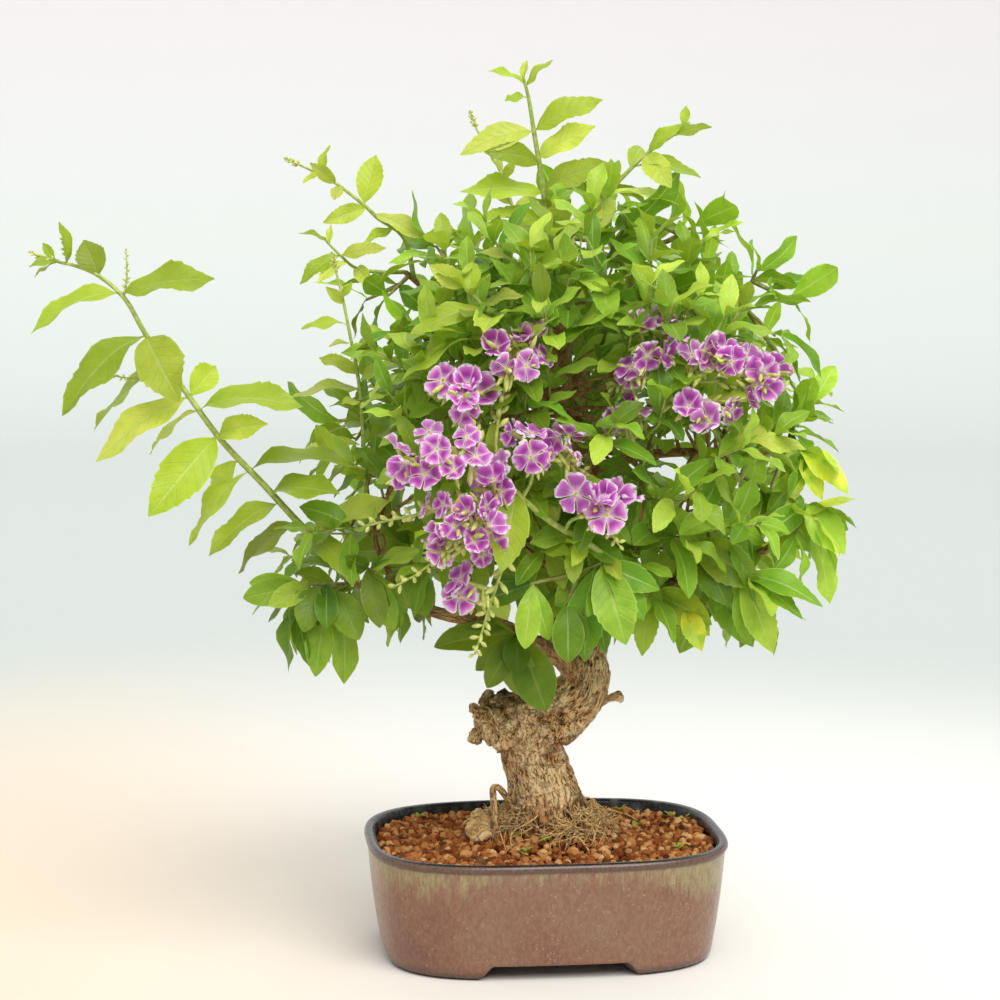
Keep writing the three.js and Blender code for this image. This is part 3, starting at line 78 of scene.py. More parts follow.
# A line starts at a share of another line, at a place of its own, or at its own first place (None).
# Branches: start, radii at both ends, places
BRANCHES = {
    "upper_trunk": (None, (8, 2), [
        (588, 660, 2), (588, 640, 0), (586, 590, -3), (588, 540, -4), (585, 480, -5), (583, 430, -5), (572, 390, -5),
        (560, 345, -4), (555, 300, -3), (553, 252, -2),
    ]),
    "low_left": ((578, 680, 6), (4.2, 1.6), [
        (556, 656, 15), (525, 637, 22), (490, 622, 30), (450, 616, 36), (410, 603, 40), (375, 590, 42),
        (345, 578, 42),
    ]),
    "low_left_riser": (("low_left", 0.78), (1.7, 1.2), [(392, 580, 34), (378, 550, 26), (372, 522, 20)]),
    "mid_left": (("upper_trunk", 0.45), (2.8, 1.4), [
        (540, 484, -12), (480, 460, -18), (430, 444, -22), (388, 428, -25),
    ]),
    "high_left": (("upper_trunk", 0.6), (2.6, 1.2), [
        (540, 388, -8), (490, 342, -12), (440, 302, -14), (405, 272, -14),
    ]),
    "low_right": (("upper_trunk", 0.2), (3.2, 1.4), [
        (630, 588, 12), (680, 580, 25), (730, 566, 32), (775, 545, 34), (803, 522, 32),
    ]),
    "mid_right": (("upper_trunk", 0.45), (2.6, 1.3), [
        (630, 458, 6), (690, 452, 12), (745, 455, 16), (788, 446, 16),
    ]),
    "high_right": (("upper_trunk", 0.68), (2.4, 1.2), [(610, 348, 4), (660, 312, 6), (710, 292, 6), (748, 290, 4)]),
    "top_right": (("upper_trunk", 0.85), (2, 1.1), [(590, 276, -6), (630, 254, -10), (668, 241, -12)]),
    "top_left": (("upper_trunk", 0.82), (2, 1.1), [(520, 292, 4), (480, 276, 6), (452, 268, 8)]),
    "front_low": (("upper_trunk", 0.14), (2.6, 1.5), [(580, 606, 25), (570, 590, 45), (562, 580, 60)]),
    "front_right": (("upper_trunk", 0.26), (2.4, 1.4), [(602, 578, 28), (622, 584, 50), (632, 586, 66)]),
    "front_middle": (("upper_trunk", 0.58), (2.2, 1.2), [(572, 420, 24), (550, 402, 44), (532, 388, 58)]),
    "back_low_left": (("upper_trunk", 0.22), (2.6, 1.3), [(560, 576, -35), (520, 562, -62), (484, 552, -82)]),
    "back_low_right": (("upper_trunk", 0.3), (2.6, 1.3), [(620, 556, -35), (662, 546, -62), (698, 536, -82)]),
    "back_middle": (("upper_trunk", 0.47), (2.4, 1.2), [(590, 472, -38), (600, 456, -72), (606, 446, -96)]),
    "back_high_left": (("upper_trunk", 0.58), (2.2, 1.1), [(555, 392, -38), (522, 358, -62), (492, 338, -78)]),
    "back_high_right": (("upper_trunk", 0.66), (2.2, 1.1), [(612, 372, -32), (648, 346, -56), (680, 332, -72)]),
    "back_top": (("upper_trunk", 0.84), (1.8, 1.1), [(560, 288, -22), (570, 264, -42), (576, 248, -54)]),
}

# Long young shoots: start, radii, places, and leaves as their stalk's foot, their tip, how much nearer the tip is and
# how broad they look
SHOOTS = {
    "left_arching_shoot": (("low_left", 1), (1.7, 0.6), [
        (334, 559, 44), (297, 521, 50), (262, 483, 54), (222, 441, 56), (188, 395, 56), (148, 338, 54),
        (125, 299, 52), (99, 276, 50), (76, 266, 48), (59, 262, 47), (34, 254, 46),
    ], [
        (61, 260, 24, 267, 4, 8), (69, 255, 59, 222, 4, 7), (59, 256, 43, 243, -4, 9), (64, 262, 34, 278, -6, 5),
        (99, 270, 84, 240, -6, 28), (128, 292, 215, 279, 8, 26), (120, 301, 30, 335, 6, 20),
        (148, 339, 62, 416, 14, 32), (152, 338, 180, 402, 22, 46), (186, 394, 216, 366, -16, 26),
        (208, 412, 303, 407, 8, 22), (166, 370, 93, 432, -10, 15), (184, 400, 96, 462, 12, 30),
        (222, 441, 268, 424, 18, 24), (196, 420, 149, 455, -14, 11), (214, 438, 148, 517, 20, 44),
        (236, 452, 212, 508, -18, 24), (240, 470, 189, 546, 0, 18), (272, 508, 209, 556, 14, 20),
        (258, 468, 357, 468, 6, 18), (276, 488, 340, 494, 22, 24), (300, 520, 238, 574, -10, 22),
        (314, 536, 391, 501, 12, 24), (318, 536, 360, 582, 22, 26),
    ]),
    "left_upright_shoot": (("low_left_riser", 1), (1.2, 0.5), [
        (368, 500, 22), (364, 460, 24), (362, 410, 26), (357, 370, 26), (350, 335, 26), (342, 295, 24),
        (335, 268, 22),
    ], [
        (343, 300, 326, 287, 4, 11), (345, 299, 352, 282, 2, 8), (346, 322, 301, 329, 4, 9),
        (351, 346, 329, 347, 12, 7), (353, 348, 377, 341, 12, 12), (359, 378, 319, 358, -8, 14),
        (359, 386, 287, 400, 6, 11), (360, 384, 413, 357, 6, 14), (362, 402, 342, 404, 14, 9),
        (362, 402, 376, 398, 14, 9), (363, 450, 306, 448, 6, 8), (364, 450, 416, 422, 8, 11),
        (366, 480, 334, 466, 10, 14), (367, 482, 394, 466, 12, 14),
    ]),
    "upper_left_shoot": (("high_left", 0.93), (1.2, 0.5), [
        (404, 238, -12), (378, 218, -8), (364, 205, -6), (337, 184, -4), (317, 173, -4), (300, 165, -4),
    ], [
        (324, 178, 330, 145, -4, 7), (334, 184, 310, 163, 6, 14), (320, 176, 303, 183, 4, 6),
        (339, 187, 334, 200, 8, 12), (364, 204, 376, 155, -8, 26), (366, 207, 323, 223, 6, 18),
        (374, 213, 425, 241, 10, 17), (395, 230, 362, 246, 8, 12),
    ]),
    "small_left_shoot": (("high_left", 1), (1, 0.5), [(380, 272, -8), (356, 268, -2), (341, 256, 2), (326, 241, 4)], [
        (326, 241, 298, 233, 4, 7), (327, 242, 331, 225, -2, 7), (341, 257, 300, 284, 6, 16),
        (346, 262, 318, 284, 14, 14), (341, 256, 386, 248, 4, 16), (356, 268, 372, 286, 12, 16),
    ]),
    "leader_shoot": (("upper_trunk", 1), (1.5, 0.5), [
        (546, 209, 0), (540, 168, 2), (534, 132, 3), (529, 100, 3), (525, 84, 3), (523, 74, 3),
    ], [
        (524, 80, 527, 56, -3, 6), (526, 88, 553, 56, 4, 10), (525, 86, 488, 71, 5, 8), (529, 98, 505, 101, 12, 9),
        (535, 132, 603, 100, 4, 25), (534, 132, 460, 155, 8, 27), (541, 160, 596, 126, 12, 24),
        (539, 164, 484, 152, 14, 23), (546, 196, 612, 164, 14, 26), (545, 197, 460, 192, 8, 25),
        (548, 226, 478, 219, 16, 20), (549, 236, 474, 238, -14, 16), (549, 232, 571, 199, 14, 26),
    ]),
    "upper_right_shoot": (("upper_trunk", 0.97), (1.4, 0.5), [
        (582, 219, 4), (615, 185, 6), (645, 155, 7), (672, 136, 8), (690, 122, 8),
    ], [
        (682, 127, 686, 106, -3, 10), (648, 153, 682, 124, 6, 15), (674, 136, 712, 127, 5, 13),
        (646, 156, 671, 188, 14, 26), (632, 170, 701, 178, 6, 11), (630, 172, 640, 146, -14, 18),
        (604, 198, 679, 205, 8, 10), (598, 204, 548, 189, 10, 13), (606, 194, 600, 232, 18, 22),
    ]),
    "far_back_shoot": (("top_left", 0.15), (1.1, 0.5), [
        (520, 240, -30), (512, 205, -38), (500, 171, -42), (476, 128, -46),
    ], [
        (502, 174, 488, 152, -6, 8), (503, 178, 516, 160, 4, 10), (512, 205, 494, 190, -8, 12),
        (514, 212, 536, 196, -8, 12),
    ]),
    "front_upright_shoot": (("front_middle", 0.6), (1.2, 0.5), [
        (542, 365, 54), (534, 335, 56), (528, 292, 56), (523, 263, 54), (520, 248, 53),
    ], [
        (527, 280, 581, 254, 8, 16), (525, 272, 472, 252, 8, 9), (522, 262, 498, 243, 4, 6),
        (522, 258, 530, 238, 2, 6), (524, 266, 545, 255, 8, 9),
    ]),
    "front_left_shoot": (("front_middle", 0.85), (1.3, 0.6), [
        (516, 356, 66), (503, 338, 70), (492, 318, 72), (476, 298, 72), (462, 284, 70),
    ], [
        (466, 288, 429, 265, 4, 20), (470, 292, 472, 262, -8, 18), (496, 322, 484, 333, 34, 28),
        (484, 306, 408, 337, 10, 22), (498, 330, 402, 381, 12, 20), (500, 334, 540, 352, 10, 14),
        (486, 308, 524, 296, 12, 14),
    ]),
    "flowering_shoot_low": (("front_right", 1), (1.6, 1), [
        (605, 557, 74), (584, 541, 78), (557, 526, 82), (531, 506, 85), (505, 480, 88), (494, 466, 89),
    ], [
        (515, 496, 501, 573, 20, 36), (606, 558, 622, 580, 14, 16), (584, 541, 572, 566, 12, 15),
        (520, 500, 470, 480, -14, 18), (557, 525, 530, 470, -16, 22),
    ]),
    "flowering_shoot_high": (("mid_right", 0.78), (1.4, 0.8), [
        (739, 479, 42), (731, 459, 52), (719, 439, 58), (705, 412, 62), (690, 390, 64), (676, 378, 65),
    ], [
        (700, 404, 760, 400, 8, 12), (690, 392, 640, 362, -14, 14), (720, 440, 806, 450, -6, 20),
        (728, 452, 690, 470, -14, 16), (692, 392, 716, 372, -14, 16),
    ]),
}

# Racemes: start, places, how large the florets are, how many of the part's own buds end them, and the florets
RACEMES = {
    "raceme_upper": (("flowering_shoot_low", 0.93), [
        (496, 440, 92), (501, 405, 92), (508, 375, 90), (512, 356, 88),
    ], 1, 2, [
        (495, 347, 92), (517, 341, 86), (526, 366, 98), (540, 354, 88), (506, 368, 98), (531, 340, 80),
    ]),
    "raceme_upper_left": (("flowering_shoot_low", 0.97), [(479, 445, 96), (468, 414, 96), (459, 390, 94)], 1, 1, [
        (443, 380, 94), (456, 374, 88), (468, 384, 98), (463, 397, 104), (478, 394, 96), (465, 410, 102),
    ]),
    "raceme_centre": (("flowering_shoot_low", 0.95), [
        (470, 464, 97), (440, 462, 100), (410, 466, 98), (392, 474, 94),
    ], 0.92, 2, [
        (437, 449, 112), (467, 437, 108), (399, 449, 100), (405, 463, 106), (401, 477, 100), (429, 432, 98),
        (476, 456, 108), (454, 470, 112), (425, 474, 108),
    ]),
    "raceme_hanging": (("flowering_shoot_low", 0.9), [
        (482, 500, 98), (464, 525, 100), (448, 548, 98), (420, 572, 92), (392, 588, 86),
    ], 0.85, 3, [
        (426, 506, 102), (443, 505, 108), (443, 531, 106), (435, 541, 98), (441, 553, 100), (454, 526, 112),
        (468, 512, 110), (486, 506, 108), (490, 525, 110), (474, 541, 108), (493, 541, 104), (482, 555, 98),
    ]),
    "raceme_left_buds": (("flowering_shoot_low", 0.85), [
        (500, 500, 92), (460, 506, 94), (420, 514, 92), (390, 520, 88), (366, 526, 84),
    ], 1, 5, [
        (500, 466, 98), (494, 480, 104), (500, 492, 100),
    ]),
    "raceme_right": (("flowering_shoot_low", 0.72), [
        (530, 484, 88), (537, 462, 92), (552, 456, 92), (570, 464, 90), (584, 473, 88),
    ], 1, 2, [
        (530, 433, 96), (557, 437, 94), (569, 435, 84), (531, 457, 104), (572, 453, 94),
    ]),
    "raceme_low_right": (("flowering_shoot_low", 0.45), [
        (572, 520, 88), (590, 516, 92), (604, 524, 92), (619, 545, 90),
    ], 1.2, 2, [
        (576, 494, 98), (600, 502, 98), (612, 500, 90), (621, 498, 84), (607, 515, 100),
    ]),
    "raceme_pendent": (("flowering_shoot_low", 0.78), [
        (512, 528, 92), (500, 575, 92), (490, 605, 90), (482, 632, 88), (475, 654, 86),
    ], 1, 5, [
        (460, 579, 92), (459, 596, 90),
    ]),
    "raceme_high_left": (("flowering_shoot_high", 0.97), [
        (658, 366, 68), (645, 372, 70), (626, 382, 68), (610, 388, 66),
    ], 1, 2, [
        (640, 325, 70), (654, 326, 64), (676, 337, 66), (663, 322, 56), (647, 356, 82), (664, 352, 78),
        (632, 367, 76), (630, 375, 70),
    ]),
    "raceme_high_right": (("flowering_shoot_high", 0.92), [
        (706, 382, 68), (730, 380, 68), (760, 380, 64), (786, 388, 60),
    ], 1, 2, [
        (692, 355, 72), (704, 350, 74), (724, 350, 70), (731, 362, 76), (747, 359, 68), (761, 357, 62),
        (763, 370, 70), (774, 367, 60), (764, 384, 72),
    ]),
    "raceme_high_low": (("flowering_shoot_high", 0.8), [
        (684, 404, 70), (660, 408, 70), (636, 424, 68), (612, 443, 64),
    ], 1, 2, [
        (617, 412, 72), (627, 406, 68), (637, 414, 76), (614, 424, 66), (689, 407, 84), (709, 422, 82),
        (732, 410, 72),
    ]),
}

# Tufts: seat, length of the leaves, droop, seed, where the twigs end with the pairs of leaves on each, and single
# leaves as for the shoots
TUFTS = {
    "tuft_right_top": (("high_right", 1), 25, -0.1, 1, [(757, 270, 8, 2), (790, 300, 16, 2)], []),
    "tuft_crown_right": (("top_right", 1), 26, -0.1, 2, [(694, 226, -8, 2), (652, 222, -4, 2)], []),
    "tuft_crown_middle": (("top_right", 0.45), 29, 0, 3, [
        (626, 226, 12, 2), (596, 214, -22, 1), (640, 300, -26, 2),
    ], []),
    "tuft_crown_left": (("top_left", 0.55), 28, 0, 4, [(505, 262, 16, 2), (474, 246, 2, 1)], []),
    "tuft_left_top": (("top_left", 1), 26, 0, 5, [(436, 246, 0, 2), (424, 262, 18, 1)], []),
    "tuft_left_olive": (("high_left", 0.97), 25, 0.1, 6, [
        (388, 296, 4, 2), (366, 300, -14, 1), (440, 320, -42, 2),
    ], []),
    "tuft_left_upper": (("high_left", 0.55), 26, 0.3, 7, [(424, 340, 12, 2), (404, 330, 30, 2)], []),
    "tuft_front_crown": (("front_middle", 0.5), 30, 0.2, 8, [(575, 330, 52, 2), (600, 360, 50, 1)], []),
    "tuft_left_middle": (("mid_left", 1), 28, 0.35, 9, [
        (340, 420, -18, 2), (356, 440, -4, 2), (384, 500, -46, 2), (392, 400, -54, 2),
    ], []),
    "tuft_left_inner": (("mid_left", 0.7), 28, 0.3, 10, [(410, 395, -6, 2), (408, 470, 8, 1)], []),
    "tuft_right_upper": (("high_right", 0.55), 28, 0.2, 111, [(650, 286, 32, 2), (690, 322, 36, 2)], []),
    "tuft_right_shoulder": (("high_right", 0.85), 28, 0.3, 12, [(775, 336, 26, 2), (788, 372, 8, 2)], []),
    "tuft_right_middle": (("mid_right", 1), 24, 0.5, 13, [
        (796, 420, 14, 2), (800, 452, 28, 1), (770, 490, -20, 1),
    ], [
        (800, 448, 848, 494, 16, 24),
    ]),
    "tuft_right_far": (("low_right", 1), 24, 0.9, 14, [(806, 504, 40, 2), (794, 536, 46, 1)], [
        (814, 506, 845, 554, 12, 32), (812, 530, 830, 604, 6, 18),
    ]),
    "tuft_right_front": (("mid_right", 0.62), 31, 0.7, 15, [(716, 476, 30, 1), (764, 488, 26, 1)], [
        (760, 488, 810, 552, 16, 34), (750, 480, 750, 530, 18, 23), (724, 470, 689, 506, 10, 24),
    ]),
    "tuft_right_fall": (("low_right", 0.5), 31, 0.8, 16, [(690, 534, 58, 0), (744, 578, 60, 1)], [
        (694, 538, 761, 587, 10, 38), (688, 546, 729, 607, 14, 34), (704, 560, 753, 647, 2, 40),
        (744, 576, 773, 653, 6, 30), (742, 574, 823, 607, 10, 24),
    ]),
    "tuft_right_bottom": (("low_right", 0.28), 26, 0.8, 17, [(650, 594, 52, 1), (688, 612, 48, 0)], [
        (656, 590, 712, 625, 18, 34), (646, 592, 642, 656, 10, 24), (684, 612, 702, 651, 12, 22),
    ]),
    "tuft_front_fall": (("front_low", 1), 31, 0.8, 18, [(603, 562, 76, 0), (530, 584, 76, 0), (566, 604, 74, 0)], [
        (602, 562, 626, 645, 10, 40), (596, 566, 585, 662, -4, 32), (566, 602, 568, 663, 8, 30),
        (530, 584, 525, 649, 6, 24), (536, 590, 484, 600, -6, 22), (600, 562, 660, 590, 4, 26),
    ]),
    "tuft_low_left_front": (("low_left", 0.3), 29, 0.8, 19, [(516, 634, 34, 0)], [
        (506, 632, 487, 688, 8, 26), (512, 632, 517, 674, 12, 27), (518, 634, 546, 711, 12, 42),
        (508, 632, 434, 647, 12, 27),
    ]),
    "tuft_left_fall": (("low_left", 0.97), 31, 0.8, 20, [(336, 590, 52, 0), (302, 584, 50, 0)], [
        (306, 588, 289, 673, 2, 14), (312, 588, 297, 655, -12, 14), (322, 590, 316, 672, -6, 18),
        (330, 590, 344, 684, 4, 25), (336, 588, 359, 640, 12, 30), (326, 586, 326, 629, 20, 22),
        (316, 584, 303, 632, 14, 26), (302, 582, 243, 598, 4, 26), (304, 585, 252, 615, -10, 16),
        (310, 584, 268, 606, 14, 22),
    ]),
    "tuft_left_near": (("low_left", 0.78), 31, 0.6, 21, [(366, 566, 58, 0), (412, 562, 56, 0)], [
        (366, 568, 380, 628, 14, 24), (374, 570, 394, 630, 4, 24), (384, 572, 400, 644, -14, 18),
        (412, 562, 426, 617, 10, 30), (400, 566, 424, 640, -16, 18), (376, 566, 420, 551, 10, 15),
        (366, 566, 345, 556, 16, 18),
    ]),
    "tuft_left_side": (("low_left", 0.9), 28, 0.4, 22, [(318, 556, 22, 2), (330, 540, 6, 1)], []),
    "tuft_centre_left": (("mid_left", 0.35), 31, 0.4, 23, [
        (492, 470, 24, 2), (470, 500, 30, 1), (512, 530, -16, 2), (560, 556, -28, 1),
    ], []),
    "tuft_centre_right": (("mid_right", 0.3), 31, 0.6, 24, [
        (640, 490, 34, 2), (650, 520, 22, 1), (618, 566, -14, 1), (612, 430, -24, 1),
    ], [
        (640, 488, 630, 540, 16, 30),
    ]),
    "tuft_back_low_left": (("back_low_left", 1), 33, 0.6, 25, [
        (444, 560, -98, 2), (482, 590, -104, 1), (404, 556, -50, 2), (524, 556, -58, 2),
    ], []),
    "tuft_back_low_right": (("back_low_right", 1), 33, 0.6, 26, [
        (722, 538, -98, 2), (700, 580, -102, 1), (732, 550, -44, 2), (640, 566, -50, 2), (600, 540, -62, 1),
    ], []),
    "tuft_back_middle": (("back_middle", 1), 33, 0.4, 27, [
        (586, 420, -112, 2), (640, 470, -112, 1), (560, 500, -84, 2), (586, 352, -88, 2),
    ], []),
    "tuft_back_high_left": (("back_high_left", 1), 32, 0.2, 28, [
        (456, 320, -90, 2), (490, 372, -102, 1), (430, 440, -76, 2), (506, 444, -90, 2),
    ], []),
    "tuft_back_high_right": (("back_high_right", 1), 32, 0.2, 29, [
        (706, 314, -84, 2), (678, 376, -100, 1), (722, 440, -62, 2), (740, 380, -44, 2),
    ], []),
    "tuft_back_top": (("back_top", 1), 30, 0, 30, [(566, 226, -66, 2), (612, 244, -72, 1), (530, 300, -66, 2)], []),
}

# Flower spikes at the ends of the long shoots
SPIKES = {
    "left_arching_shoot": [
        [(67, 262, 47), (64, 245, 47), (60, 224, 47)], [(59, 262, 47), (42, 258, 46), (29, 251, 46)],
        [(124, 296, 52), (127, 275, 52), (126, 248, 51)], [(152, 376, 56), (128, 378, 58), (107, 374, 58)],
    ],
    "left_upright_shoot": [[(337, 272, 22), (334, 262, 22), (332, 252, 22)]],
    "upper_left_shoot": [[(302, 166, -4), (293, 162, -4), (285, 158, -4)]],
    "far_back_shoot": [[(477, 130, -46), (473, 120, -46), (470, 111, -46)]],
}

# The trunk and what is broken or cut off it: places, and the radii of the wood along them
TRUNK = ([
    (551, 856, 0), (550, 832, 0), (549, 812, 0), (545, 792, 0), (539, 774, 0), (533, 756, 0), (531, 741, 1),
    (539, 727, 2), (554, 716, 3), (569, 706, 4), (580, 694, 4), (586, 679, 3), (588, 664, 2), (588, 648, 0),
], [17, 19, 17.5, 15.2, 14, 13.4, 13.6, 13.4, 12.2, 11.6, 11.4, 10.4, 9, 6.8])
KNUCKLE = ([(545, 730, 4), (522, 724, 5), (501, 721, 6), (484, 722, 7), (476, 723, 7)], [11, 12.5, 10.5, 8, 5.6])
SNAGS = [
    ([(504, 722, 4), (492, 708, 3), (487, 699, 2), (486, 694, 2)], [5.6, 3.8, 2.6, 1.4]),
    ([(494, 724, 8), (482, 716, 9), (475, 711, 10), (471, 708, 10)], [5.4, 3.6, 2.4, 1.2]),
    ([(520, 714, 3), (512, 703, 1), (503, 696, 0), (500, 692, 0)], [6, 4.2, 2.8, 1.6]),
    ([(488, 726, 7), (478, 735, 8), (474, 741, 8)], [4.6, 3.2, 1.5]),
    ([(500, 730, 9), (492, 740, 13), (489, 747, 14)], [4, 2.6, 1.3]),
    ([(510, 731, 8), (505, 737, 15), (502, 741, 19)], [6.4, 5, 4]),
    ([(538, 716, 8), (531, 713, 14), (526, 712, 19)], [7, 5, 3.4]),
    ([(548, 707, 2), (540, 697, 0), (533, 690, -2)], [8, 6.4, 4]),
    ([(588, 709, 4), (600, 704, 5), (610, 699, 6), (620, 696, 7)], [2.6, 1.7, 1.3, 1.5]),
]
ROOT_ARCH = [(520, 812, 4), (507, 798, 8), (499, 788, 11), (493, 789, 12), (494, 806, 13), (497, 842, 14)]
ROOT_KNOB = ([(512, 818, 4), (498, 820, 6), (484, 824, 7), (474, 828, 8)], [3.6, 4.8, 5.4, 3.4])
# Round swellings of the knuckle, then of the root knob, with their radii
BURLS = [
    (501, 744, 13, 3.2), (486, 731, 14, 3.6), (511, 713, 14, 4.0), (529, 706, 13, 3.6), (541, 719, 16, 3.2),
    (519, 731, 16, 3.2), (561, 704, 14, 2.8), (532, 742, 14, 2.6), (473, 828, 10, 3.2), (480, 817, 9, 3.2),
    (486, 831, 13, 3.6), (478, 834, 12, 3.0), (494, 814, 8, 3.4), (500, 828, 12, 3.0),
]
# Buttresses where the trunk meets the soil: distance from its middle, height over the soil, radius
FLARES = 9
FLARE = [(8, 7, 4.4), (12.5, 2.2, 3.2), (17.5, -0.4, 2), (24, -2.5, 1.1)]
# Pale roots that lie on the soil in front of the trunk, in pixels of the front view, with their radii
FORKS = [
    ([(604, 813), (592, 818), (579, 821), (571, 819), (559, 827), (549, 832)], 1.0, 0.4),
    ([(572, 820), (580, 827), (584, 834)], 0.6, 0.25),
    ([(561, 834), (571, 838), (579, 841), (585, 847), (589, 853)], 0.75, 0.3),
    ([(576, 840), (586, 840), (595, 845)], 0.5, 0.25),
    ([(590, 818), (604, 822), (613, 830)], 0.7, 0.3),
    ([(545, 822), (533, 829), (527, 826)], 0.6, 0.3),
    ([(511, 846), (518, 852), (528, 857)], 0.5, 0.3),
    ([(603, 812), (622, 815), (637, 822)], 0.6, 0.25),
]
MOSS = [(508, 700, 4), (524, 696, -4), (494, 712, 2), (508, 806, 8), (598, 800, 4)]
SEEDLINGS = [
    (392, 814), (518, 837), (545, 842), (525, 853), (679, 849), (634, 828), (703, 818), (677, 816), (638, 804),
]

# The crown's outline seen from the front, then gaps in its leaves where the wood and the sky show
CROWN_MIDDLE = (562, 430)
CROWN_EDGE = [
    (852, 545), (818, 620), (770, 652), (700, 655), (640, 648), (580, 655), (520, 640), (470, 600),
    (400, 590), (352, 640), (290, 645), (252, 590), (318, 490), (322, 400), (372, 315), (410, 258),
    (440, 222), (510, 196), (600, 176), (700, 214), (762, 262), (806, 310), (812, 400), (848, 470),
]
CROWN_DEPTH = 78
CROWN_HEART = (566, 500, 0)
SPRAY_REACH = 84
GAPS = [(586, 400, 34), (560, 448, 22), (452, 614, 42), (590, 480, 16), (330, 455, 26)]


# Places, lines and random draws
def unit(vectors):
    vectors = np.asarray(vectors, float)
    return vectors / np.linalg.norm(vectors, axis=-1, keepdims=True)


TURN = math.radians(VIEW["turn"])
PITCH = math.radians(VIEW["pitch"])
RIGHT = np.array([math.cos(TURN), math.sin(TURN), 0])
TOWARDS = np.array([math.sin(TURN), -math.cos(TURN), 0])
UP = np.array([0.0, 0.0, 1.0])
POT_LOW, POT_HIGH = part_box("pot")
POT_CENTRE = np.array([(POT_LOW.x + POT_HIGH.x) / 2, (POT_LOW.y + POT_HIGH.y) / 2, POT_LOW.z])
# The part's own box in millimetres. No leaf, stalk or petal reaches outside it
REACH_LOW = (np.array(CAD_BOX[0]) - POT_CENTRE) * 1000 + 0.3
REACH_HIGH = (np.array(CAD_BOX[1]) - POT_CENTRE) * 1000 - 0.3


def metres(points):
    return np.asarray(points, float) / 1000 + POT_CENTRE


def at(places):
    """Places of the front view in millimetres."""
    places = np.asarray(places, float)
    x = (places[..., 0] - VIEW["middle"]) / VIEW["focal"]
    y = (VIEW["middle"] - places[..., 1]) / VIEW["focal"]
    forward = places[..., 2]
    reach = (VIEW["away"] - forward) / (math.cos(PITCH) + y * math.sin(PITCH))
    points = RIGHT * (VIEW["aside"] + reach * x)[..., None] + TOWARDS * forward[..., None]
    points[..., 2] = VIEW["high"] + reach * (y * math.cos(PITCH) - math.sin(PITCH))
    return points


def route(places):
    """A smooth line through places, as a function of a share from 0 to 1 that counts every step alike."""
    places = np.asarray(places, float)
    ends = np.vstack([2 * places[0] - places[1], places, 2 * places[-1] - places[-2]])

    def spot(share):
        reach = np.clip(np.asarray(share, float), 0, 1) * (len(places) - 1)
        k = np.minimum(reach.astype(int), len(places) - 2)
        t = (reach - k)[..., None]
        a, b, c, d = (ends[k + step] for step in range(4))
        return 0.5 * (2 * b + (c - a) * t + (2 * a - 5 * b + 4 * c - d) * t**2 + (3 * b - a - 3 * c + d) * t**3)

    return spot


def bent(first, middle, last, share):
    """A place on the bow that leaves first towards middle and comes in to last."""
    return (1 - share) ** 2 * first + 2 * share * (1 - share) * middle + share**2 * last


def crossing(heading):
    """Two directions across a heading."""
    side = unit(np.cross(heading, UP if abs(heading[2]) < 0.9 else RIGHT))
    return side, np.cross(heading, side)


def round_about(side, other, angle):
    return side * math.cos(angle) + other * math.sin(angle)


def nearest(points, spot):
    return np.argmin(np.linalg.norm(points - spot, axis=1))


def gap_to(points, spots):
    """How far each point is from the nearest spot."""
    return np.min(np.linalg.norm(points[:, None] - spots[None], axis=-1), axis=1)


def run_along(points):
    """The length of a line up to each of its points."""
    return np.concatenate([[0], np.cumsum(np.linalg.norm(np.diff(points, axis=0), axis=1))])


def draws(seed):
    """The part's own repeatable random numbers."""
    while True:
        seed = (seed * 1664525 + 1013904223) % 4294967296
        yield seed / 4294967296


lines = {}


def grow(on, path):
    """A line from where it starts, if that is given, along its own places."""
    if not on:
        return route(path)
    return route([lines[on[0]](on[1]) if isinstance(on[0], str) else on, *path])


for name, (on, _, path) in BRANCHES.items():
    lines[name] = grow(on, path)
MOUND = at((549, 812, 0))
SOIL_SHOWN = (71, 55)


def from_middle(x, y, half_x, half_y):
    """Below 1 inside a rounded rectangle like the pot's."""
    return (abs(x) / half_x) ** POT["roundness"] + (abs(y) / half_y) ** POT["roundness"]


def soil_height(x, y):
    near = np.clip(1 - np.hypot(x - MOUND[0], y - MOUND[1]) / SOIL["reach"], 0, 1)
    return POT["height"] - SOIL["below_rim"] + SOIL["mound"] * near * near * (3 - 2 * near)


def on_soil(across, down):
    """The point of the soil that shows at a pixel of the front view."""
    low, high = -70.0, 70.0
    for _ in range(30):
        middle = (low + high) / 2
        point = at((across, down, middle))
        if point[2] > soil_height(point[0], point[1]):
            low, high = low, middle
        else:
            low, high = middle, high
    spot = at((across, down, low))
    out = from_middle(spot[0], spot[1], *SOIL_SHOWN)
    if out > 1:
        spot[:2] /= out ** (1 / POT["roundness"])
        spot[2] = soil_height(spot[0], spot[1])
    return spot


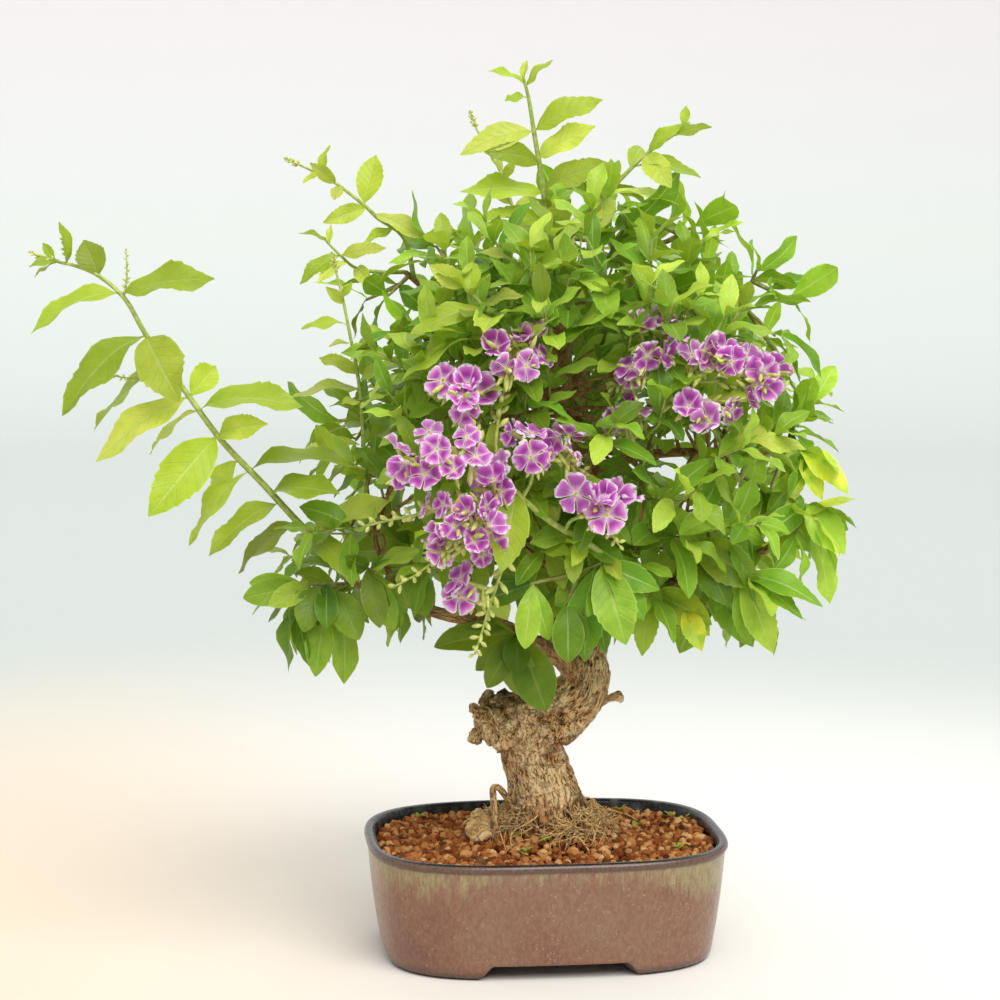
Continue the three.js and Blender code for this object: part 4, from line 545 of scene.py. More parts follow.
# Meshes
class Shape:
    """Points and faces gathered in millimetres. place and tone are three numbers a point, for the materials."""

    def __init__(self):
        self.points, self.places, self.tones, self.faces, self.slots = [], [], [], [], []
        self.count = 0

    def add(self, points, faces, place=(0, 0, 0), tone=(0, 0, 0), slot=0):
        points = np.asarray(points, float)
        self.points.append(points)
        self.places.append(np.broadcast_to(np.asarray(place, float), points.shape))
        self.tones.append(np.broadcast_to(np.asarray(tone, float), points.shape))
        self.cover(faces, self.count, slot)
        self.count += len(points)

    def cover(self, faces, first, slot=0):
        """Adds faces whose corners are counted from the point first."""
        self.faces.append(np.asarray(faces, int) + first)
        self.slots.append(np.broadcast_to(slot, len(faces)))

    def build(self, name, materials, smooth=True):
        data = bpy.data.meshes.new(name)
        corners = np.concatenate([faces.ravel() for faces in self.faces])
        sizes = np.concatenate([np.full(len(faces), faces.shape[1]) for faces in self.faces])
        data.vertices.add(self.count)
        data.vertices.foreach_set("co", metres(np.concatenate(self.points)).ravel())
        data.loops.add(len(corners))
        data.loops.foreach_set("vertex_index", corners)
        data.polygons.add(len(sizes))
        data.polygons.foreach_set("loop_start", np.concatenate([[0], np.cumsum(sizes)[:-1]]))
        data.polygons.foreach_set("material_index", np.concatenate(self.slots))
        data.polygons.foreach_set("use_smooth", np.full(len(sizes), smooth))
        for mark, values in (("place", self.places), ("tone", self.tones)):
            layer = data.attributes.new(mark, "FLOAT_VECTOR", "POINT")
            layer.data.foreach_set("vector", np.concatenate(values).ravel())
        data.update(calc_edges=True)
        for material in materials:
            data.materials.append(material)
        return put_in_scene(name, data)


def put_in_scene(name, data):
    thing = bpy.data.objects.new(name, data)
    bpy.context.scene.collection.objects.link(thing)
    return thing


def frames(points):
    """The direction of a line at each of its points, and two directions across it that don't twist."""
    tangents = unit(np.gradient(points, axis=0) + 1e-9)
    side = UP if abs(tangents[0][2]) < 0.9 else np.array([1.0, 0, 0])
    sides = []
    for tangent in tangents:
        side = unit(side - tangent * side.dot(tangent))
        sides.append(side)
    sides = np.array(sides)
    return tangents, sides, np.cross(tangents, sides)


def ring_faces(rings, count):
    """Quads between rings of points, each a closed loop."""
    first = np.arange(rings - 1)[:, None] * count
    a = first + np.arange(count)
    b = first + (np.arange(count) + 1) % count
    return np.stack([a, b, b + count, a + count], axis=-1).reshape(-1, 4)


def sheet_faces(rows, columns):
    """Quads between rows of points."""
    a = (np.arange(rows - 1)[:, None] * columns + np.arange(columns - 1)).ravel()
    return np.stack([a, a + 1, a + 1 + columns, a + columns], axis=-1)


def fan(first, count, middle, flip=False):
    """Triangles from a closed loop to a point in its middle."""
    corner, following = first + np.arange(count), first + (np.arange(count) + 1) % count
    loop = (following, corner) if flip else (corner, following)
    return np.column_stack([*loop, np.full(count, middle)])


def tube(shape, points, radii, sides=6, tone=(0, 0, 0), slot=0, swell=0.0):
    """A bar along points, closed at both ends. Its places run along and round it, for grain that follows it."""
    points = np.asarray(points, float)
    radii = np.broadcast_to(np.asarray(radii, float), len(points))
    _, side, other = frames(points)
    angles = np.arange(sides) * 2 * math.pi / sides
    c, s = np.cos(angles)[None], np.sin(angles)[None]
    run = run_along(points)[:, None]
    uneven = 1 + swell * np.sin(3 * angles[None] + 0.9 * run) * np.sin(0.7 * run + 1)
    spoke = c[..., None] * side[:, None] + s[..., None] * other[:, None]
    rings = points[:, None] + spoke * (radii[:, None] * uneven)[..., None]
    place = np.stack(np.broadcast_arrays(c * radii.max(), s * radii.max(), run), axis=-1)
    first, middle = shape.count, len(points) * sides
    shape.add(
        np.clip(np.vstack([rings.reshape(-1, 3), points[[0, -1]]]), REACH_LOW, REACH_HIGH),
        ring_faces(len(points), sides),
        np.vstack([place.reshape(-1, 3), place[[0, -1]].mean(axis=1)]),
        tone, slot,
    )
    shape.cover(fan(0, sides, middle, flip=True), first, slot)
    shape.cover(fan(middle - sides, sides, middle + 1), first, slot)


def stem(shape, line, radii, steps, **marks):
    share = np.linspace(0, 1, steps + 1)
    thick, thin = radii
    tube(shape, at(line(share)), thick + (thin - thick) * share, **marks)


# Materials
def paint(code):
    """A colour written as six hexadecimal digits, as the shaders take it."""
    channels = [int(code[i : i + 2], 16) / 255 for i in (0, 2, 4)]
    return tuple(c / 12.92 if c <= 0.04045 else ((c + 0.055) / 1.055) ** 2.4 for c in channels) + (1,)


class Value:
    """What a node works out. Arithmetic on values adds the nodes for it."""

    def __init__(self, finish, socket):
        self.finish, self.socket = finish, socket

    def __add__(self, other):
        return self.finish.calc("ADD", self, other)

    def __sub__(self, other):
        return self.finish.calc("SUBTRACT", self, other)

    def __mul__(self, other):
        return self.finish.calc("MULTIPLY", self, other)

    def __abs__(self):
        return self.finish.calc("ABSOLUTE", self)


class Finish:
    """A node material that is written as expressions."""

    def __init__(self, name):
        self.data = bpy.data.materials.new(name)
        self.data.use_nodes = True
        self.tree = self.data.node_tree
        self.shader = self.tree.nodes["Principled BSDF"]

    def put(self, socket, value):
        if isinstance(value, Value):
            self.tree.links.new(value.socket, socket)
        else:
            socket.default_value = paint(value) if isinstance(value, str) else value

    def node(self, kind, inputs=(), output=0, **settings):
        """Adds a node. Its inputs are given in order, or by name or number."""
        made = self.tree.nodes.new(kind)
        for key, value in settings.items():
            setattr(made, key, value)
        for key, value in inputs.items() if isinstance(inputs, dict) else enumerate(inputs):
            self.put(made.inputs[key], value)
        return Value(self, made.outputs[output])

    def set(self, **values):
        for key, value in values.items():
            self.put(self.shader.inputs[key.replace("_", " ").title().replace("Ior", "IOR")], value)

    def calc(self, operation, *values):
        return self.node("ShaderNodeMath", values, operation=operation)

    def split(self, vector):
        made = self.node("ShaderNodeSeparateXYZ", [vector])
        return [Value(self, socket) for socket in made.socket.node.outputs]

    def mark(self, name):
        """The three numbers of a point's place or tone."""
        return self.split(self.vector(name))

    def vector(self, name):
        return self.node("ShaderNodeAttribute", output="Vector", attribute_name=name)

    def where(self):
        """The point itself, in millimetres."""
        return self.scaled(self.node("ShaderNodeTexCoord", output="Object"), 1000)

    def scaled(self, vector, scale):
        return self.node("ShaderNodeVectorMath", {0: vector, "Scale": scale}, operation="SCALE")

    def stretch(self, vector, x, y, z):
        return self.node("ShaderNodeVectorMath", [vector, (x, y, z)], operation="MULTIPLY")

    def noise(self, vector, scale, detail=2.0, roughness=0.5, distortion=0.0):
        settings = dict(Vector=vector, Scale=scale, Detail=detail, Roughness=roughness, Distortion=distortion)
        return self.node("ShaderNodeTexNoise", settings)

    def cells(self, vector, scale):
        return self.node("ShaderNodeTexVoronoi", dict(Vector=vector, Scale=scale), output="Distance")

    def span(self, value, low, high, to_low=0.0, to_high=1.0):
        """Value taken from low..high to to_low..to_high, smoothly and clamped."""
        return self.node("ShaderNodeMapRange", (value, low, high, to_low, to_high), interpolation_type="SMOOTHSTEP")

    def blend(self, share, first, second):
        return self.node("ShaderNodeMix", {0: share, 6: first, 7: second}, output=2, data_type="RGBA")

    def ramp(self, value, *stops):
        made = self.node("ShaderNodeValToRGB", [value])
        elements = made.socket.node.color_ramp.elements
        elements[0].position, elements[1].position = stops[0][0], stops[-1][0]
        elements[0].color, elements[1].color = paint(stops[0][1]), paint(stops[-1][1])
        for position, colour in stops[1:-1]:
            elements.new(position).color = paint(colour)
        return made

    def bump(self, height, distance, strength=1.0):
        self.set(normal=self.node("ShaderNodeBump", dict(Height=height, Distance=distance, Strength=strength)))

    def glow_through(self, colour, share):
        """Lets part of the light through a thin blade or petal."""
        through = self.node("ShaderNodeBsdfTranslucent", dict(Color=colour))
        mixed = self.node("ShaderNodeMixShader", (share, Value(self, self.shader.outputs[0]), through))
        self.put(self.tree.nodes["Material Output"].inputs["Surface"], mixed)


def blade_finish():
    """Leaves. place: along, across and a number for each leaf; tone: how young, the leaf's painted light and shade,
    how yellow.
    """
    m = Finish("leaf_blade")
    along, across, variety = m.mark("place")
    young, light, yellow = m.mark("tone")
    off = abs(across)
    midrib = m.span(off, 0.11, 0.02)
    wave = m.calc("COSINE", (along - off * 0.2) * (2 * math.pi * 8.0))
    veins = m.span(wave, 0.82, 1.0) * m.span(off, 1.0, 0.75)
    mottle = m.noise(m.where(), 0.16, 3.0, 0.6)
    old_colour = m.ramp(mottle * 0.4 + variety * 0.6, (0.15, "2f6f16"), (0.5, "5f9922"), (0.85, "a0c53c"))
    young_colour = m.ramp(mottle * 0.5 + variety * 0.5, (0.2, "96b42c"), (0.5, "b3c63c"), (0.8, "d4da66"))
    colour = m.blend(young, old_colour, young_colour)
    turning = m.span(m.noise(m.where(), 0.11, 2.0), 0.36, 0.6, 0.2, 1.0)
    colour = m.blend(yellow * turning, colour, "d8d640")
    colour = m.blend(midrib * 0.5, colour, "b9d37a")
    colour = m.blend(veins * 0.13, colour, "a9cc66")
    colour = m.blend(m.span(off, 0.9, 1.0, 0.0, 0.45), colour, "c6dc72")
    # Painted light and shade: each leaf's colour is scaled by its light, so leaves high up and at the right come out
    # lighter and low ones darker.
    colour = m.scaled(colour, m.calc("MULTIPLY_ADD", light, 1.15, 0.53))
    m.set(base_color=colour, roughness=m.span(mottle, 0.3, 0.7, 0.3, 0.44), specular_ior_level=0.32)
    m.bump(m.noise(m.where(), 0.9, 2.0) - veins * 0.9 - midrib * 1.2, 0.0003, 0.6)
    m.glow_through(m.blend(0.6, colour, "c6d83a"), 0.32)
    return m.data


def green_finish():
    """Young stalks, calyces and buds."""
    m = Finish("green_stalk")
    mottle = m.noise(m.where(), 0.5, 3.0)
    young, light, _ = m.mark("tone")
    green = m.ramp(mottle, (0.3, "8fae3a"), (0.7, "c9d777"))
    brown = m.ramp(mottle, (0.3, "6c6a30"), (0.7, "9c8d52"))
    pale = m.ramp(mottle, (0.3, "aeba4c"), (0.7, "dfe38c"))
    m.set(base_color=m.blend(m.span(light, 0.6, 0.9), m.blend(young, brown, green), pale), roughness=0.5)
    m.bump(m.noise(m.stretch(m.vector("place"), 2, 2, 0.3), 1.5, 3.0), 0.0002, 0.5)
    return m.data


def petal_finish():
    """Petals. place: reach from the throat, nearness to the margin and a number for each floret."""
    m = Finish("petal")
    reach, margin, variety = m.mark("place")
    side, light, _ = m.mark("tone")
    ragged = margin + (m.noise(m.where(), 0.55, 3.0, 0.6) - 0.5) * 0.16
    depth = ragged * 0.75 + light * 0.35
    violet = m.ramp(depth, (0.16, "fdd8f8"), (0.38, "f09eea"), (0.68, "cf58cc"), (1.0, "a432a6"))
    violet = m.blend(m.span(variety, 0.6, 1.0, 0.0, 0.45), violet, "eeb0f2")
    violet = m.blend(m.span(reach, 0.5, 0.2, 0.0, 0.7), violet, "f8d2f4")
    streak = m.span(abs(side), 0.2, 0.0) * m.span(reach, 0.2, 0.85, 1.0, 0.0)
    colour = m.blend(streak * 0.6, violet, "7c2086")
    colour = m.blend(m.span(ragged, 0.4, 0.17), colour, "fff2fd")
    colour = m.blend(m.span(reach, 0.22, 0.1), colour, "fbf0cc")
    m.set(base_color=colour, roughness=0.6)
    m.bump(m.noise(m.where(), 1.4, 2.0), 0.0002, 0.4)
    m.glow_through(m.blend(0.35, colour, "f49cf8"), 0.4)
    return m.data


def bark_finish():
    """Wood. place: grain that follows it; tone: height of the ridges, lowered by painted shade at the trunk's foot,
    moss and how young it is.
    """
    m = Finish("bark")
    grain = m.vector("place")
    ridge, moss, young = m.mark("tone")
    fine = m.noise(m.stretch(grain, 1, 1, 0.5), 1.0, 6.0, 0.7, 0.9)
    blotch = m.noise(m.where(), 0.3, 5.0, 0.65, 0.6)
    furrow = abs(m.noise(m.stretch(grain, 1, 1, 0.36), 0.38, 4.0, 0.6, 1.4) - 0.5)
    height = ridge * 0.62 + fine * 0.35 - 0.05 + blotch * 0.34 - m.span(furrow, 0.045, 0.0, 0.0, 0.44)
    # The wood's colour follows the height of its bark, from near black in the fissures to pale on the ridges. The dark
    # of the fissures is partly the bark's own colour and partly painted shade.
    old = m.ramp(height, (0.17, "2c190b"), (0.3, "8e5d2c"), (0.43, "dca15c"), (0.58, "f4c688"), (0.8, "fee0aa"))
    worn = m.ramp(height, (0.25, "4a2812"), (0.6, "b8763e"))
    old = m.blend(m.span(m.noise(m.where(), 0.09, 2.0), 0.46, 0.66, 0.0, 0.6), old, worn)
    # Pale patches on the raised bark: partly the bark's own paler colour, partly painted highlight.
    pale = m.span(m.noise(m.where(), 0.07, 3.0, 0.6), 0.5, 0.68, 0.0, 0.4)
    old = m.blend(pale * m.span(height, 0.3, 0.55), old, "f2d09a")
    root = m.span(ridge, 1.0, 1.25)
    old = m.blend(root, old, m.ramp(fine, (0.3, "966d34"), (0.48, "e0b874"), (0.7, "fbe4b0")))
    colour = m.blend(young, old, m.ramp(fine, (0.3, "8a6234"), (0.6, "c4915a"), (0.8, "dbb27e")))
    moss_share = moss * m.span(m.noise(m.where(), 0.35, 4.0, 0.7), 0.38, 0.56)
    colour = m.blend(moss_share, colour, m.ramp(fine, (0.3, "2a1c0e"), (0.7, "70592f")))
    m.set(base_color=colour, roughness=0.86)
    m.bump(height * m.span(root, 0.0, 1.0, 1.0, 0.12), 0.0022)
    return m.data


def clay_finish():
    """Fired clay granules. tone: how light, how brown. Both also carry painted shade: the sheet under the granules and
    the granules that sit low are made darker.
    """
    m = Finish("clay_granules")
    light, brown, _ = m.mark("tone")
    pores = m.noise(m.where(), 1.6, 5.0, 0.7)
    colour = m.ramp(light * 0.8 + pores * 0.3,
                    (0.12, "4d2410"), (0.35, "8a4a20"), (0.62, "b5733c"), (0.85, "d8a468"), (1.0, "efcb98"))
    m.set(base_color=m.blend(brown * 0.85, colour, "2c180c"), roughness=0.95, specular_ior_level=0.15)
    m.bump(pores, 0.0008, 0.7)
    return m.data


def glaze_finish():
    """The pot's outer wall: red-brown glaze under olive runs from a dark rim, with pale specks."""
    m = Finish("pot_glaze")
    spot = m.where()
    wide, _, high = m.split(spot)
    body = m.ramp(m.noise(spot, 0.02, 3.0, 0.55), (0.3, "6c4135"), (0.5, "815844"), (0.7, "846751"))
    grain = m.noise(m.stretch(spot, 1, 1, 0.55), 0.7, 4.0, 0.65)
    body = m.blend(0.3, body, m.ramp(grain, (0.35, "644236"), (0.65, "a07d62")))
    runs = m.noise(m.stretch(spot, 1, 1, 0.22), 0.3, 5.0, 0.75, 0.4)
    patch = m.noise(m.stretch(spot, 1, 1, 0.25), 0.03, 2.0)
    ends = m.span(abs(wide - float(POT_CENTRE[0] * 1000)), 28.0, 70.0, 0.0, 13.0)
    olive = m.span(high + ends + (runs * 34.0 + patch * 26.0), 73.0, 85.0)
    threads = m.span(m.noise(m.stretch(spot, 1, 1, 0.2), 0.9, 4.0, 0.7, 0.3), 0.36, 0.58, 0.25, 1.0)
    colour = m.blend(olive * threads * 0.9, body, "9a9067")
    specks = m.span(m.cells(m.stretch(spot, 1, 1, 0.6), 0.75), 0.2, 0.1)
    colour = m.blend(specks * m.span(m.noise(spot, 0.23, 1.0), 0.46, 0.6) * 0.7, colour, "d3bfa6")
    lip = m.ramp(grain, (0.3, "4a3731"), (0.7, "66493e"))
    colour = m.blend(m.span(high, 47.2, 48.6, 0.0, 0.92), colour, lip)
    colour = m.blend(m.span(high, 51.0, 51.7), colour, "1f1c1d")
    colour = m.blend(m.span(high, 5.0, 0.6, 0.0, 0.75), colour, "453531")
    m.set(base_color=colour, roughness=m.span(grain, 0.35, 0.65, 0.2, 0.34), specular_ior_level=0.5)
    m.bump(m.noise(spot, 0.25, 2.0) + runs * 0.3, 0.0006, 0.35)
    return m.data


def rim_finish():
    """The rim and the inner wall: dark blue-black glaze."""
    m = Finish("rim_glaze")
    spot = m.where()
    clouds = m.noise(spot, 0.12, 4.0, 0.6)
    colour = m.ramp(clouds, (0.3, "141416"), (0.5, "26292e"), (0.62, "4a5154"), (0.78, "7d8478"))
    m.set(base_color=colour, roughness=m.span(clouds, 0.3, 0.7, 0.2, 0.34))
    m.bump(m.noise(spot, 0.4, 2.0), 0.0004, 0.3)
    return m.data


def grainy_finish(name, noise_settings, dark, pale, roughness, relief):
    """One matt material with fine grain: its noise, its two colours and its bump."""
    m = Finish(name)
    grain = m.noise(m.where(), *noise_settings)
    m.set(base_color=m.ramp(grain, (0.3, dark), (0.7, pale)), roughness=roughness)
    m.bump(grain, *relief)
    return m.data


def wire_finish():
    m = Finish("staple_wire")
    grain = m.noise(m.stretch(m.where(), 0.4, 3, 3), 1.0, 4.0)
    m.set(base_color=m.ramp(grain, (0.3, "85868a"), (0.7, "b9babd")), metallic=1.0,
          roughness=m.span(grain, 0.3, 0.7, 0.3, 0.5))
    return m.data


BLADE = blade_finish()
GREEN = green_finish()
PETAL = petal_finish()
BARK = bark_finish()
CLAY = clay_finish()
GLAZE = glaze_finish()
RIM = rim_finish()
# The unglazed underside and feet, and the drain screens
BARE_CLAY = grainy_finish("bare_clay", (0.9, 6.0, 0.7), "4a342a", "7c5c48", 0.9, (0.0005, 0.6))
PLASTIC = grainy_finish("screen_plastic", (1.2, 3.0), "24303c", "34434f", 0.55, (0.0002, 0.4))
WIRE = wire_finish()


def dress(thing, nodes):
    """Puts a piece on the part's one body, in place of the nodes it stands for."""
    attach(thing, "root")
    if nodes:
        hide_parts(*nodes)
    return thing


# The pot
OUTLINE_STEPS = 176
FLOOR_INSET = 9
GLAZED, RIM_SLOT, BARE = 0, 1, 2


def oval(half_x, half_y, angles):
    c, s = np.cos(angles), np.sin(angles)
    power = 2 / POT["roundness"]
    return np.stack([np.sign(c) * np.abs(c) ** power * half_x, np.sign(s) * np.abs(s) ** power * half_y], axis=-1)


def opening_angles(half, marks, inverse):
    """Angles at which the pot's foot is at these distances from its middle, on both sides of it."""
    found = []
    for mark in marks:
        angle = inverse((mark / (half - FLOOR_INSET)) ** (POT["roundness"] / 2))
        found += [angle, math.pi - angle, math.pi + angle, 2 * math.pi - angle]
    return found


def pot():
    steps = np.array([0, 0.5, 1]) * FOOT["slant"]
    marks, side_marks = FOOT["open_width"] + steps, FOOT["open_depth"] + steps
    angles = list(np.linspace(0, 2 * math.pi, OUTLINE_STEPS, endpoint=False))
    angles += opening_angles(POT["half_width"], marks, math.acos)
    angles += opening_angles(POT["half_depth"], side_marks, math.asin)
    angles = np.unique(np.round(angles, 5))
    across, deep = np.abs(oval(POT["half_width"] - FLOOR_INSET, POT["half_depth"] - FLOOR_INSET, angles)).T
    front = across * POT["half_depth"] < deep * POT["half_width"]
    lift = np.clip(np.where(front, marks[2] - across, side_marks[2] - deep) / FOOT["slant"], 0, 1)
    lift = (FOOT["height"] - 0.3) * lift * lift * (3 - 2 * lift)

    wall = route([(inset, z, 0) for inset, z in OUTER_WALL])(np.linspace(0, 1, 60))
    loops, slots = [], []

    def row(inset, z, slot):
        """One loop of the pot. inset and z are numbers, or one for each angle."""
        inset = np.broadcast_to(inset, angles.shape)
        flat = oval(1, 1, angles) * np.stack([POT["half_width"] - inset, POT["half_depth"] - inset], axis=-1)
        loops.append(np.column_stack([flat, np.broadcast_to(z, angles.shape)]))
        slots.append(slot)

    def wall_row(z, slot=GLAZED, out=0.0):
        row(np.interp(z, wall[:, 1], wall[:, 0]) + out, z, slot)

    inner_foot = OUTER_WALL[0][0] + FOOT["rim"]
    for share in (0.05, 0.5):
        row(POT["half_depth"] - 1 - (POT["half_depth"] - inner_foot) * 2 * share, FOOT["height"], BARE)
    row(inner_foot, FOOT["height"], BARE)
    row(inner_foot - 0.6, lift + 0.25, BARE)
    row(OUTER_WALL[0][0] + 1.2, lift, BARE)
    wall_row(lift + 0.02 * (12 - lift), BARE, 0.5)
    for share in (0.08, 0.25, 0.55, 1):
        wall_row(lift + share * (12 - lift))
    for z in (15, 19, 24, 29, 34, 38, 41.5, 44.5, 46.6, 47.6):
        wall_row(z)
    for turn in range(0, 181, 18):
        bend = math.radians(turn)
        z = 49.6 + 2.35 * math.sin(bend) if turn < 180 else 49.2
        row(2.25 - 2.2 * math.cos(bend), z, GLAZED if turn < 80 else RIM_SLOT)
    for inset, z in route([(i, z, 0) for i, z in INNER_WALL])(np.linspace(0.1, 1, 12))[:, :2]:
        row(inset, z, RIM_SLOT)
    floor = INNER_WALL[-1][1]
    row(POT["half_depth"] - 2, floor, RIM_SLOT)

    shape = Shape()
    count, end = len(angles), len(angles) * len(loops)
    points = np.vstack([*loops, (0, 0, FOOT["height"]), (0, 0, floor)])
    shape.add(points, ring_faces(len(loops), count), slot=np.repeat(slots[1:], count))
    shape.cover(fan(0, count, end, flip=True), 0, BARE)
    shape.cover(fan(end - count, count, end + 1), 0, RIM_SLOT)
    thing = shape.build("pot_body", [GLAZE, RIM, BARE_CLAY])
    drill(thing)
    return dress(thing, ["pot"])


def baked(thing):
    """The mesh of a thing with its modifiers carried out."""
    graph = bpy.context.evaluated_depsgraph_get()
    return bpy.data.meshes.new_from_object(thing.evaluated_get(graph))


def drill(thing):
    """The two drain holes through the pot's floor."""
    drills = Shape()
    for x in (-DRAIN["across"], DRAIN["across"]):
        tube(drills, [(x, 0, 2), (x, 0, 9), (x, 0, 16)], DRAIN["radius"], sides=32)
    cutter = drills.build("drills", [BARE_CLAY])
    cut = thing.modifiers.new("drain_holes", "BOOLEAN")
    cut.operation = "DIFFERENCE"
    cut.object = cutter
    drilled = baked(thing)
    thing.modifiers.clear()
    thing.data = drilled
    bpy.data.objects.remove(cutter)


# The soil and its clay granules
SOIL_STEPS = 90
GRAIN_PITCH = 2.8
GRAIN_ROOM = (73.9, 57.9)
TRUNK_ROOM = 11


def soil():
    shape = Shape()
    rng = np.random.default_rng(7)
    angles = np.linspace(0, 2 * math.pi, SOIL_STEPS, endpoint=False)
    half = np.array([POT["half_width"], POT["half_depth"]])
    loops = []
    for inset, z in ((13.9, 12.4), (9.4, 22), (5.8, 46)):
        loops.append(np.column_stack([oval(*(half - inset), angles), np.full(SOIL_STEPS, z)]))
    for share in (1, 0.93, 0.85, 0.75, 0.65, 0.55, 0.45, 0.35, 0.25, 0.15, 0.05):
        flat = oval(*((half - SOIL["edge"]) * share), angles)
        loops.append(np.column_stack([flat, soil_height(flat[:, 0], flat[:, 1]) - 2.2]))
    # The sheet under the granules is dark brown: painted shade in the gaps between them.
    shape.add(np.concatenate(loops), ring_faces(len(loops), SOIL_STEPS), tone=(0.3, 0.75, 0))

    ball, ball_faces = rough_ball()
    spots = []
    for i in range(-30, 31):
        for j in range(-30, 31):
            x = (i + 0.5 * (j % 2)) * GRAIN_PITCH + rng.uniform(-0.8, 0.8)
            y = j * GRAIN_PITCH * 0.87 + rng.uniform(-0.8, 0.8)
            if from_middle(x, y, *GRAIN_ROOM) < 1 and math.hypot(x - MOUND[0], y - MOUND[1]) > TRUNK_ROOM:
                spots.append((x, y))
    for x, y in spots:
        size = rng.uniform(1.1, 2.05) * (1.3 if rng.random() < 0.12 else 1)
        turned, _ = np.linalg.qr(rng.normal(size=(3, 3)))
        lumps = 1 + rng.uniform(-0.2, 0.2, (len(ball), 1))
        grain = (ball * lumps * rng.uniform(0.75, 1.15, 3)) @ turned.T * size
        lift = rng.uniform(-1.1, 1.1)
        dry = rng.random()
        brown = 0.9 if rng.random() < 0.08 else rng.uniform(0, 0.25)
        # Granules that sit lower are painted darker, painted shade among their neighbours; dry gives their own
        # lightness.
        tone = (0.06 + 0.8 * dry + 0.13 * lift, brown, 0)
        shape.add(grain + (x, y, soil_height(x, y) - 0.9 + lift), ball_faces, tone=tone)
    return dress(shape.build("soil_granules", [CLAY], smooth=False), ["soil"])


def rough_ball():
    """A ball of 80 triangles, as points and faces."""
    form = bmesh.new()
    bmesh.ops.create_icosphere(form, subdivisions=2, radius=1)
    points = np.array([v.co for v in form.verts])
    faces = np.array([[v.index for v in face.verts] for face in form.faces])
    form.free()
    return points, faces


# The wood
SKIN_VOXEL = 0.00062
SKIN_ROUNDS = 5
KNOT_GAP = 40
GRAIN_BATCH = 4000


def blended(shape):
    """The bars of a shape run together into one skin: its points, its faces and its outward directions."""
    draft = shape.build("wood_draft", [BARK])
    skin = draft.modifiers.new("skin", "REMESH")
    skin.mode = "VOXEL"
    skin.voxel_size = SKIN_VOXEL
    soften = draft.modifiers.new("soften", "SMOOTH")
    soften.iterations = SKIN_ROUNDS
    soften.factor = 0.5
    data = baked(draft)
    bpy.data.objects.remove(draft)
    points, normals = (np.empty(len(data.vertices) * 3) for _ in range(2))
    faces = np.empty(len(data.loops), int)
    data.vertices.foreach_get("co", points)
    data.vertices.foreach_get("normal", normals)
    data.loops.foreach_get("vertex_index", faces)
    bpy.data.meshes.remove(data)
    return (points.reshape(-1, 3) - POT_CENTRE) * 1000, faces.reshape(-1, 4), normals.reshape(-1, 3)


def billow(point):
    """Rounded plates with sharp cracks between them, about 0 to 1."""
    total, weight = 0.0, 1.0
    for _ in range(5):
        total += weight * abs(noise.noise(point))
        point = point * 2.07
        weight *= 0.52
    return min(1.0, total * 1.5)


def old_wood(shape):
    """The trunk with its knuckle, snags and root knob: one skin, cut by fissures that run with the grain."""
    draft = Shape()
    paths = []

    def bar(spots, thick, sides):
        tube(draft, spots, thick, sides)
        paths.append((np.array(spots), np.array(thick)))

    def tapered(places, radii, sides=24):
        spots = at(route(places)(np.linspace(0, 1, 6 * len(places))))
        bar(spots, np.interp(np.linspace(0, 1, len(spots)), np.linspace(0, 1, len(radii)), radii), sides)

    tapered(*TRUNK, sides=32)
    tapered(*KNUCKLE)
    for snag in SNAGS:
        tapered(*snag, sides=16)
    for x, y, forward, radius in BURLS:
        stem(draft, route([(x, y, forward), (x + 2, y + 1, forward - 4)]), (radius, radius), 6, sides=14)
    tapered(*ROOT_KNOB)
    thick, thin = BRANCHES["upper_trunk"][1]
    share = np.linspace(0, 0.5, 26)
    bar(at(lines["upper_trunk"](share)), thick + (thin - thick) * share, 20)
    for angle in np.arange(FLARES) * 2 * math.pi / FLARES + 0.3:
        x, y = math.cos(angle), math.sin(angle)
        spots = [
            MOUND + (x * r, y * r, soil_height(MOUND[0] + x * r, MOUND[1] + y * r) - MOUND[2] + z) for r, z, _ in FLARE
        ]
        bar(spots, [radius for *_, radius in FLARE], 12)
    points, faces, normals = blended(draft)

    grain = grain_places(points, paths)
    gnarled = np.clip(2.1 - gap_to(points, at(KNUCKLE[0])) / 11, 0.25, 1)
    relief, lump = np.empty(len(points)), np.empty(len(points))
    for k, (point, place) in enumerate(zip(points, grain)):
        warp = noise.noise_vector(Vector(point) * 0.11) * 2.6
        along_grain = billow((Vector((place[0], place[1], place[2] * 0.36)) + warp) * 0.23)
        everywhere = billow((Vector(point) + warp * 1.5) * 0.13)
        relief[k] = along_grain + (everywhere - along_grain) * gnarled[k]
        lump[k] = noise.noise(Vector(point) * 0.085)
    points = points + normals * ((relief - 0.5) * (2.2 + gnarled) + lump * 1.9)[:, None]
    plain = gnarled > 0.55
    grain[plain] = points[plain] * (1, 1, 1.6)
    moss = np.clip(1.25 - gap_to(points, at(MOSS)) / 13, 0, 1) * np.clip(normals[:, 2] + 0.75, 0, 1)
    root_share = np.clip(2.2 - gap_to(points, at(ROOT_KNOB[0])) / 4.5, 0, 1)
    out = np.hypot(points[:, 0] - MOUND[0], points[:, 1] - MOUND[1])
    above = points[:, 2] - soil_height(points[:, 0], points[:, 1])
    # Painted shade: the wood low down round the trunk's foot, under the fine roots, is made darker.
    painted_shade_foot = np.clip((out - 13) / 5, 0, 1) * np.clip(1.3 - above / 9, 0, 1) * (1 - root_share)
    ridge = relief * 0.9 + lump * 0.25 + 0.12 - 0.5 * painted_shade_foot - 0.16 * (gnarled - 0.25)
    ridge = np.clip(ridge, 0, 0.98) * (1 - root_share) + 1.3 * root_share
    shape.add(points, faces, grain, np.column_stack([ridge, moss, np.zeros(len(points))]))


